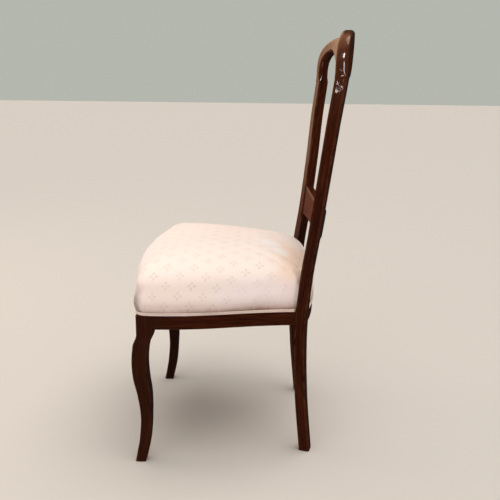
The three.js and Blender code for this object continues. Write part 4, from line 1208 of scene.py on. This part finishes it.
def makeCover():
    making = coverMaking
    bottom = seatPlan["showTop"] + seatMaking["clearance"]
    rings, pole, outward = skinRings(0, bottom, making["borderRings"], making["domeRings"], making["parts"])
    rings = smoothedProfile(rings, making["profileSpread"], making["profileKeep"])
    flat = flatPlace(rings, outward)
    outer = rings + gridNormals(rings) * coverRelief(rings, flat)[..., None]
    outer += spreadOver(clothFolds(rings[::2, ::2], pole), *rings.shape[:2])
    onTop = easeStep(rings[..., 2], *(seatPlan["showTop"] + share * seatMaking["borderHeight"]
                                      for share in making["risesFrom"]))
    for x, y, wide, deep, height in making["rises"]:
        rise = np.exp(-((np.abs(rings[..., 0]) - x) / wide) ** 2 - ((rings[..., 1] - y) / deep) ** 2)
        outer[..., 2] += height * rise * onTop
    outer = lowered(outer)
    away = postDistance(outer)
    aboveEdge = easeStep(rings[..., 2], *(bottom + height for height in making["tuckHeight"]))
    tuck = making["tuck"] * np.exp(-(away / making["tuckReach"]) ** 2) * aboveEdge
    outer -= gridNormals(outer) * tuck[..., None]
    outer = clearOfPosts(outer)
    inner, innerPole, _ = skinRings(seatMaking["coverThickness"], bottom, *making["liningRings"],
                                    making["parts"])
    innerFlat = flatPlace(inner, outward)
    inner = clearOfPosts(lowered(inner))
    size, first = outer.shape[1], outer.shape[0] * outer.shape[1]
    poles = first + inner.shape[0] * size
    points = np.concatenate([outer.reshape(-1, 3), inner.reshape(-1, 3),
                             lowered([pole]), lowered([innerPole])]) + planShift
    places = np.concatenate([flat.reshape(-1, 3), innerFlat.reshape(-1, 3), [pole], [innerPole]])
    faces = ringFaces(outer.shape[0], size, 0) + ringFaces(inner.shape[0], size, first, flip=True)
    for i in range(size):
        j = (i + 1) % size
        faces += [(first - size + i, first - size + j, poles),
                  (poles - size + j, poles - size + i, poles + 1), (first + i, first + j, j, i)]
    return newPiece("seatCover", points, faces, damask, making["smoothAngle"], clothPlace=places)


seatCover = single(makeCover(), "seat_cover")
print("cover ready")

# stuffing: a full pad that fills the cover, on the base cloth and the webbing
padMaking = {
    "parts": (24, 6, 40, 22), "rings": (10, 26), "inset": 0.0053, "smoothAngle": 50,
    "lumps": 0.0009, "lumpSize": 0.03, "lumpSeed": 5.7,
}
strapPlan = {
    "width": 0.050, "thickness": 0.0015, "spacing": 0.092, "middle": -0.020, "endInset": 0.003,
    "stations": 90, "across": 12,
}
baseClothPlan = {"thickness": 0.0010, "middle": -0.02, "rounds": 24, "parts": (20, 6, 30, 20)}
railTop, rebateDepth, clearance = seatPlan["railTop"], seatPlan["rebate"], seatMaking["clearance"]
clothBottom = railTop + 2 * strapPlan["thickness"] + 3 * clearance
stuffingBottom = clothBottom + baseClothPlan["thickness"] + clearance


def makePad():
    making = padMaking
    rings, pole, outward = skinRings(making["inset"], stuffingBottom, *making["rings"], making["parts"])
    flat = flatPlace(rings, outward)
    sunk = making["lumps"] * (noiseField(flat, making["lumpSize"], making["lumpSeed"]) - 1)
    sunk[0] = 0
    rings = clearOfPosts(lowered(rings + gridNormals(rings) * sunk[..., None]))
    count, size = rings.shape[:2]
    points = np.concatenate([rings.reshape(-1, 3), lowered([pole])])
    places = np.concatenate([flat.reshape(-1, 3), [pole]])
    faces = (ringFaces(count, size, 0) + fanFaces((count - 1) * size, count * size, size)
             + endFaces(count, size)[:1])
    return newPiece("seatStuffing", points + planShift, faces, wadding, making["smoothAngle"],
                    clothPlace=places)


seatStuffing = single(makePad(), "seat_stuffing")

# webbing straps, woven over and under each other, and the hessian on them
strapEdge = strapPlan["width"] / 2 + strapPlan["thickness"]
strapSlack = strapPlan["spacing"] / 2 - strapEdge - strapPlan["thickness"]


# rises over every second of the straps that it crosses
def strapLift(along, first):
    lift = np.zeros_like(along)
    for i, place in enumerate((-1, 0, 1)):
        if (first + i) % 2 == 0:
            away = np.abs(along - place * strapPlan["spacing"]) - strapEdge
            lift = np.maximum(lift, 1 - easeStep(away, 0, strapSlack))
    return (strapPlan["thickness"] + clearance) * lift


def makeStrap(name, start, end, first, place):
    along = np.linspace(start, end, strapPlan["stations"])
    halves = np.linspace(-0.5, 0.5, strapPlan["across"]) * strapPlan["width"]
    base = railTop + clearance + strapLift(along, first)
    points, places = [], []
    for s, level in zip(along, base):
        section = [(v, level) for v in halves] + [(v, level + strapPlan["thickness"]) for v in halves[::-1]]
        points += [place(s, v, z) for v, z in section]
        places += [(s, v, z - level) for v, z in section]
    count, size = len(along), 2 * strapPlan["across"]
    faces = ringFaces(count, size, 0) + endFaces(count, size)
    strap = newPiece(name, lowered(points) + planShift, faces, jute, strapPlace=places)
    steps = np.linalg.norm(np.diff(np.column_stack([along, base]), axis=0), axis=1)
    return strap, float(steps.sum())


def longStrap(number):
    x, middle = (number - 1) * strapPlan["spacing"], strapPlan["middle"]
    start = float(frontFace(x)) + rebateDepth + strapPlan["endInset"] - middle
    edge = backFace - rebateDepth - strapPlan["endInset"]
    end = float(bowedPlane(abs(x) + strapPlan["width"] / 2, seatPlan["showTop"], edge)[1]) - middle
    return makeStrap(f"webbingLong{number + 1}", start, end, number, lambda s, v, z: (x + v, s + middle, z))


def crossStrap(number):
    y = strapPlan["middle"] + (number - 1) * strapPlan["spacing"]
    end = float(sideFace(y + strapPlan["width"] / 2)) - rebateDepth - strapPlan["endInset"]
    return makeStrap(f"webbingCross{number + 1}", -end, end, number + 1, lambda s, v, z: (s, y + v, z))


for number in range(3):
    for kind, make, rests in (("long", longStrap, ["frontSeatRail", "backSeatRail"]),
                              ("cross", crossStrap, ["sideSeatRailLeft", "sideSeatRailRight"])):
        strap, length = make(number)
        single(strap, f"webbing_{kind}_{number + 1}")
        print("strap", strap.name, round(length, 4))


def makeBaseCloth():
    plan = baseClothPlan
    loop, _ = seatOutline(rebateDepth + strapPlan["endInset"], 0, plan["parts"])
    size, rounds = len(loop), plan["rounds"]
    centre = np.array([0.0, plan["middle"]])
    shares = np.linspace(1, 0, rounds + 1)[:-1]
    rings = np.array([centre + (loop - centre) * share for share in shares])
    points, faces = [], []
    for level, under in ((clothBottom, True), (clothBottom + plan["thickness"], False)):
        first = len(points)
        layer = np.dstack([rings, np.full(rings.shape[:2], level)])
        points += [tuple(p) for p in layer.reshape(-1, 3)] + [(*centre, level)]
        faces += ringFaces(rounds, size, first, flip=under)
        faces += fanFaces(first + (rounds - 1) * size, first + rounds * size, size, flip=under)
    upper = rounds * size + 1
    faces += [(i, (i + 1) % size, upper + (i + 1) % size, upper + i) for i in range(size)]
    points = np.array(points)
    cloth = newPiece("seatBaseCloth", clearOfPosts(lowered(points)) + planShift, faces, hessian,
                     clothPlace=points)
    x, y = loop[:, 0], loop[:, 1]
    area = abs(float((x * np.roll(y, -1) - np.roll(x, -1) * y).sum())) / 2
    return cloth, (float(np.ptp(x)), float(np.ptp(y))), area


baseCloth, clothFlat, clothArea = makeBaseCloth()
single(baseCloth, "seat_base_cloth")
print("base cloth", [round(v, 4) for v in clothFlat], round(clothArea, 5))

# doubled welts: two covered cords side by side along a path, by Geometry Nodes
weltMaking = {
    "cord": 0.00152, "apart": 0.0030, "stand": 0.0017, "sides": 12, "step": 0.0022, "postGap": 0.0028,
    "levels": (0.5, 1.5), "parts": (60, 16, 120, 40), "backParts": 90,
}


def cordNodes():
    tree = bpy.data.node_groups.new("coveredCord", "GeometryNodeTree")
    tree.interface.new_socket(name="Path", in_out="INPUT", socket_type="NodeSocketGeometry")
    for label, kind in (("Radius", "NodeSocketFloat"), ("Step", "NodeSocketFloat"),
                        ("Sides", "NodeSocketInt"), ("Material", "NodeSocketMaterial")):
        tree.interface.new_socket(name=label, in_out="INPUT", socket_type=kind)
    tree.interface.new_socket(name="Geometry", in_out="OUTPUT", socket_type="NodeSocketGeometry")
    source, sink = tree.nodes.new("NodeGroupInput"), tree.nodes.new("NodeGroupOutput")
    link = tree.links.new
    curve = tree.nodes.new("GeometryNodeMeshToCurve")
    even = tree.nodes.new("GeometryNodeResampleCurve")
    even.mode = "LENGTH"
    ring = tree.nodes.new("GeometryNodeCurvePrimitiveCircle")
    sweep = tree.nodes.new("GeometryNodeCurveToMesh")
    keepLong = tree.nodes.new("GeometryNodeStoreNamedAttribute")
    keepLong.data_type, keepLong.domain = "FLOAT", "POINT"
    keepLong.inputs["Name"].default_value = "cordLength"
    measure = tree.nodes.new("GeometryNodeSplineParameter")
    real = tree.nodes.new("GeometryNodeRealizeInstances")
    paint = tree.nodes.new("GeometryNodeSetMaterial")
    link(source.outputs["Path"], curve.inputs["Mesh"])
    link(curve.outputs["Curve"], even.inputs["Curve"])
    link(source.outputs["Step"], even.inputs["Length"])
    link(even.outputs["Curve"], keepLong.inputs["Geometry"])
    link(measure.outputs["Length"], keepLong.inputs["Value"])
    link(keepLong.outputs["Geometry"], sweep.inputs["Curve"])
    link(source.outputs["Sides"], ring.inputs["Resolution"])
    link(source.outputs["Radius"], ring.inputs["Radius"])
    link(ring.outputs["Curve"], sweep.inputs["Profile Curve"])
    sweep.inputs["Fill Caps"].default_value = True
    link(sweep.outputs["Mesh"], real.inputs["Geometry"])
    link(real.outputs["Geometry"], paint.inputs["Geometry"])
    link(source.outputs["Material"], paint.inputs["Material"])
    link(paint.outputs["Geometry"], sink.inputs["Geometry"])
    return tree


coveredCord = cordNodes()


def plainMesh(piece):
    evaluated = piece.evaluated_get(bpy.context.evaluated_depsgraph_get())
    mesh = bpy.data.meshes.new_from_object(evaluated, preserve_all_data_layers=True,
                                           depsgraph=bpy.context.evaluated_depsgraph_get())
    piece.modifiers.clear()
    piece.data = mesh
    mesh.name = piece.name
    return piece


def makeWelt(name, loop, outward):
    making, bottom = weltMaking, seatPlan["showTop"] + seatMaking["clearance"]
    points, edges = [], []
    for level in making["levels"]:
        line = np.column_stack([loop + outward * making["stand"],
                                np.full(len(loop), bottom + level * making["apart"])])
        line = lowered(line) + planShift
        first = len(points)
        points += [tuple(p) for p in line]
        edges += [(first + i, first + i + 1) for i in range(len(line) - 1)]
    mesh = bpy.data.meshes.new(name)
    mesh.from_pydata(points, edges, [])
    piece = bpy.data.objects.new(name, mesh)
    bpy.context.scene.collection.objects.link(piece)
    modifier = piece.modifiers.new("cords", "NODES")
    modifier.node_group = coveredCord
    for label, value in (("Radius", making["cord"]), ("Step", making["step"]), ("Sides", making["sides"]),
                         ("Material", weltCloth)):
        modifier[coveredCord.interface.items_tree[label].identifier] = value
    plainMesh(piece)
    mesh = piece.data
    for polygon in mesh.polygons:
        polygon.use_smooth = True
    size = len(mesh.vertices)
    place = np.empty(size * 3, np.float32)
    mesh.vertices.foreach_get("co", place)
    place = place.reshape(-1, 3)
    length = np.empty(size, np.float32)
    mesh.attributes["cordLength"].data.foreach_get("value", length)
    places = np.column_stack([length, place[:, 2], length * 0]).astype(np.float32)
    layer = mesh.attributes.new("weltPlace", "FLOAT_VECTOR", "POINT")
    layer.data.foreach_set("vector", places.ravel())
    return piece


# each path has its line in plan and the way outwards along it
def weltPaths():
    loop, outward = seatOutline(0, 0, weltMaking["parts"])
    half = len(loop) // 2
    limit = sideRear[1] - weltMaking["postGap"]
    keep = [i for i in range(half) if loop[i, 1] < limit and loop[i, 0] >= 0]
    right, facing = loop[keep], outward[keep]
    flip = np.array([-1, 1])
    front = np.concatenate([right[:0:-1] * flip, right]), np.concatenate([facing[:0:-1] * flip, facing])
    end = float(postSpread(seatPlan["showTop"])) - postPlan["width"] / 2 - weltMaking["postGap"]
    places = np.linspace(end, -end, weltMaking["backParts"])
    back = bowedPlane(places, seatPlan["showTop"], backFace)[:, :2]
    along = np.gradient(back, axis=0)
    along /= np.linalg.norm(along, axis=1)[:, None]
    return front, (back, np.column_stack([along[:, 1], -along[:, 0]]))


frontPath, backPath = weltPaths()
single(makeWelt("seatWeltFront", *frontPath), "seat_welt_front")
single(makeWelt("seatWeltBack", *backPath), "seat_welt_back")
print("welts ready")

# camera, light and floor
view = {
    "focal": 621.2, "pictureWidth": 500, "sensor": 36, "near": 0.05,
    "place": (1.3860, 0.0574, 0.7769), "yaw": 0.0254, "pitch": 0.2511, "roll": 0.0112,
}


def makeCamera():
    data = bpy.data.cameras.new("photoCamera")
    camera = bpy.data.objects.new("photoCamera", data)
    bpy.context.scene.collection.objects.link(camera)
    data.sensor_width = view["sensor"]
    data.lens = view["focal"] / view["pictureWidth"] * view["sensor"]
    data.clip_start = view["near"]
    yaw, pitch, roll = view["yaw"], view["pitch"], view["roll"]
    look = Vector((-math.cos(yaw) * math.cos(pitch), -math.sin(yaw) * math.cos(pitch), -math.sin(pitch)))
    right = look.cross(Vector((0, 0, 1))).normalized()
    up = right.cross(look)
    side = right * math.cos(roll) + up * math.sin(roll)
    top = up * math.cos(roll) - right * math.sin(roll)
    turn = Matrix((side, top, -look)).transposed().to_4x4()
    camera.matrix_world = Matrix.Translation(view["place"]) @ turn
    bpy.context.scene.camera = camera


def makeLight(name, kind, place, target, power, colour, size, diffuse, glossy):
    data = bpy.data.lights.new(name, kind)
    data.energy, data.color = power, colour
    if kind == "SUN":
        data.angle = math.radians(size)
    else:
        data.shape = "RECTANGLE"
        data.size, data.size_y = size
    light = bpy.data.objects.new(name, data)
    light.location = place
    light.rotation_euler = (Vector(target) - Vector(place)).to_track_quat("-Z", "Y").to_euler()
    light.visible_diffuse, light.visible_glossy, light.visible_camera = diffuse, glossy, False
    bpy.context.scene.collection.objects.link(light)
    return light


# a light's values: name, kind, place, target, power, colour, size, whether it lights, whether it is mirrored
stagePlan = {
    "floor": (0.60, 0.555, 0.50), "floorSize": 40, "floorRoughness": 0.85, "floorSpecular": 0.1,
    "backdrop": (0.46, 0.475, 0.425),
    "ambient": (0.42, 0.42, 0.42), "underfoot": (0.74, 0.610, 0.545), "horizon": (-0.10, 0.06),
    # what polish mirrors: one bright side that ends low down and behind, with the glow of floor and wall
    "darkSide": (0.026, 0.020, 0.016), "floorGlow": (0.34, 0.125, 0.080), "wallGlow": (1.0, 0.57, 0.35),
    "brightSide": (-0.15, 0.75), "brightSlant": 0.8, "brightLow": (-0.50, -0.10), "lowShare": 0.25,
    "brightRear": (0.12, -0.10), "brightTop": (0.55, 0.85), "glowLevel": (-0.11, 0.05),
    "lights": [
        ("softTop", "SUN", (0.15, 0.35, 2.4), (0, 0, 0.4), 2.15, (1.0, 0.972, 0.950), 60, True, False),
        ("softSide", "SUN", (1.9, -0.85, 0.62), (0, 0, 0.2), 0.90, (1.0, 0.965, 0.945), 60, True, False),
        ("softFront", "AREA", (-0.3, -2.6, 1.5), (0, 0, 0.6), 14, (1.0, 0.80, 0.62), (1.4, 1.6), True, False),
        ("window", "AREA", (2.877, -0.47, 2.512), (0.228, 0.19, 0.83),
         96, (1.0, 0.97, 0.92), (1.1, 0.86), False, True),
        ("windowLow", "AREA", (2.94, -1.045, 0.45), (0.228, 0.19, 0.80),
         0.30, (1.0, 0.92, 0.84), (0.075, 0.055), False, True),
        ("windowDim", "AREA", (2.93, -1.13, 0.91), (0.229, 0.184, 0.807),
         0.16, (1.0, 0.88, 0.78), (0.080, 0.060), False, True),
        ("windowBlue", "AREA", (3.18, 0.16, 1.22), (0.228, 0.19, 0.83),
         30, (0.76, 0.82, 1.0), (0.85, 0.60), False, True),
        ("ceiling", "AREA", (-0.57, 1.45, 3.40), (0.21, 0.2, 0.87),
         40, (1.0, 0.78, 0.62), (2.2, 2.4), False, True),
    ],
}


def makeFloor():
    mesh = bpy.data.meshes.new("paleFloor")
    size = stagePlan["floorSize"]
    corners = [(-size, -size, 0), (size, -size, 0), (size, size, 0), (-size, size, 0)]
    mesh.from_pydata(corners, [], [(0, 1, 2, 3)])
    floor = bpy.data.objects.new("paleFloor", mesh)
    # the floor's own bounce is left out, and the world below it gives that of a darker floor
    floor.visible_glossy = floor.visible_diffuse = False
    material, w, surface = newMaterial("floorPale", stagePlan["floor"])
    w.dress(surface, {"Base Color": (*stagePlan["floor"], 1), "Roughness": stagePlan["floorRoughness"],
                      "Specular IOR Level": stagePlan["floorSpecular"]})
    mesh.materials.append(material)
    bpy.context.scene.collection.objects.link(floor)


def makeWorld():
    plan, world = stagePlan, bpy.data.worlds.new("softStudio")
    bpy.context.scene.world = world
    world.use_nodes = True
    w = Wires(world.node_tree)
    ray = w.node("ShaderNodeLightPath").outputs
    x, y, z = w.split(w.node("ShaderNodeTexCoord").outputs["Generated"])
    side = w.ease(w.minus(w.times(z, plan["brightSlant"]), x), *plan["brightSide"])
    side = w.times(side, w.ease(z, *plan["brightLow"], plan["lowShare"], 1.0))
    side = w.times(side, w.larger(w.ease(y, *plan["brightRear"]), w.span(z, *plan["brightTop"])))
    bright = w.mix(w.ease(z, *plan["glowLevel"]), plan["floorGlow"], plan["wallGlow"])
    mirrored = w.mix(side, plan["darkSide"], bright)
    lit = w.mix(w.ease(z, *plan["horizon"]), plan["underfoot"], plan["ambient"])
    around = w.mix(ray["Is Glossy Ray"], lit, mirrored)
    sky = world.node_tree.nodes["Background"]
    w.put(sky.inputs["Color"], w.mix(ray["Is Camera Ray"], around, plan["backdrop"]))


makeCamera()
makeFloor()
makeWorld()
# the two large mirrored windows aren't seen in the far post's arris
farPost = bpy.data.collections.new("farPost")
farPost.objects.link(postRight)
farPost.collection_objects[0].light_linking.link_state = "EXCLUDE"
for lightPlan in stagePlan["lights"]:
    light = makeLight(*lightPlan)
    if light.name in ("window", "windowBlue"):
        light.light_linking.receiver_collection = farPost
# plain colours, without the film curve that greys the cream
bpy.context.scene.view_settings.view_transform = "Standard"
print("stage ready")
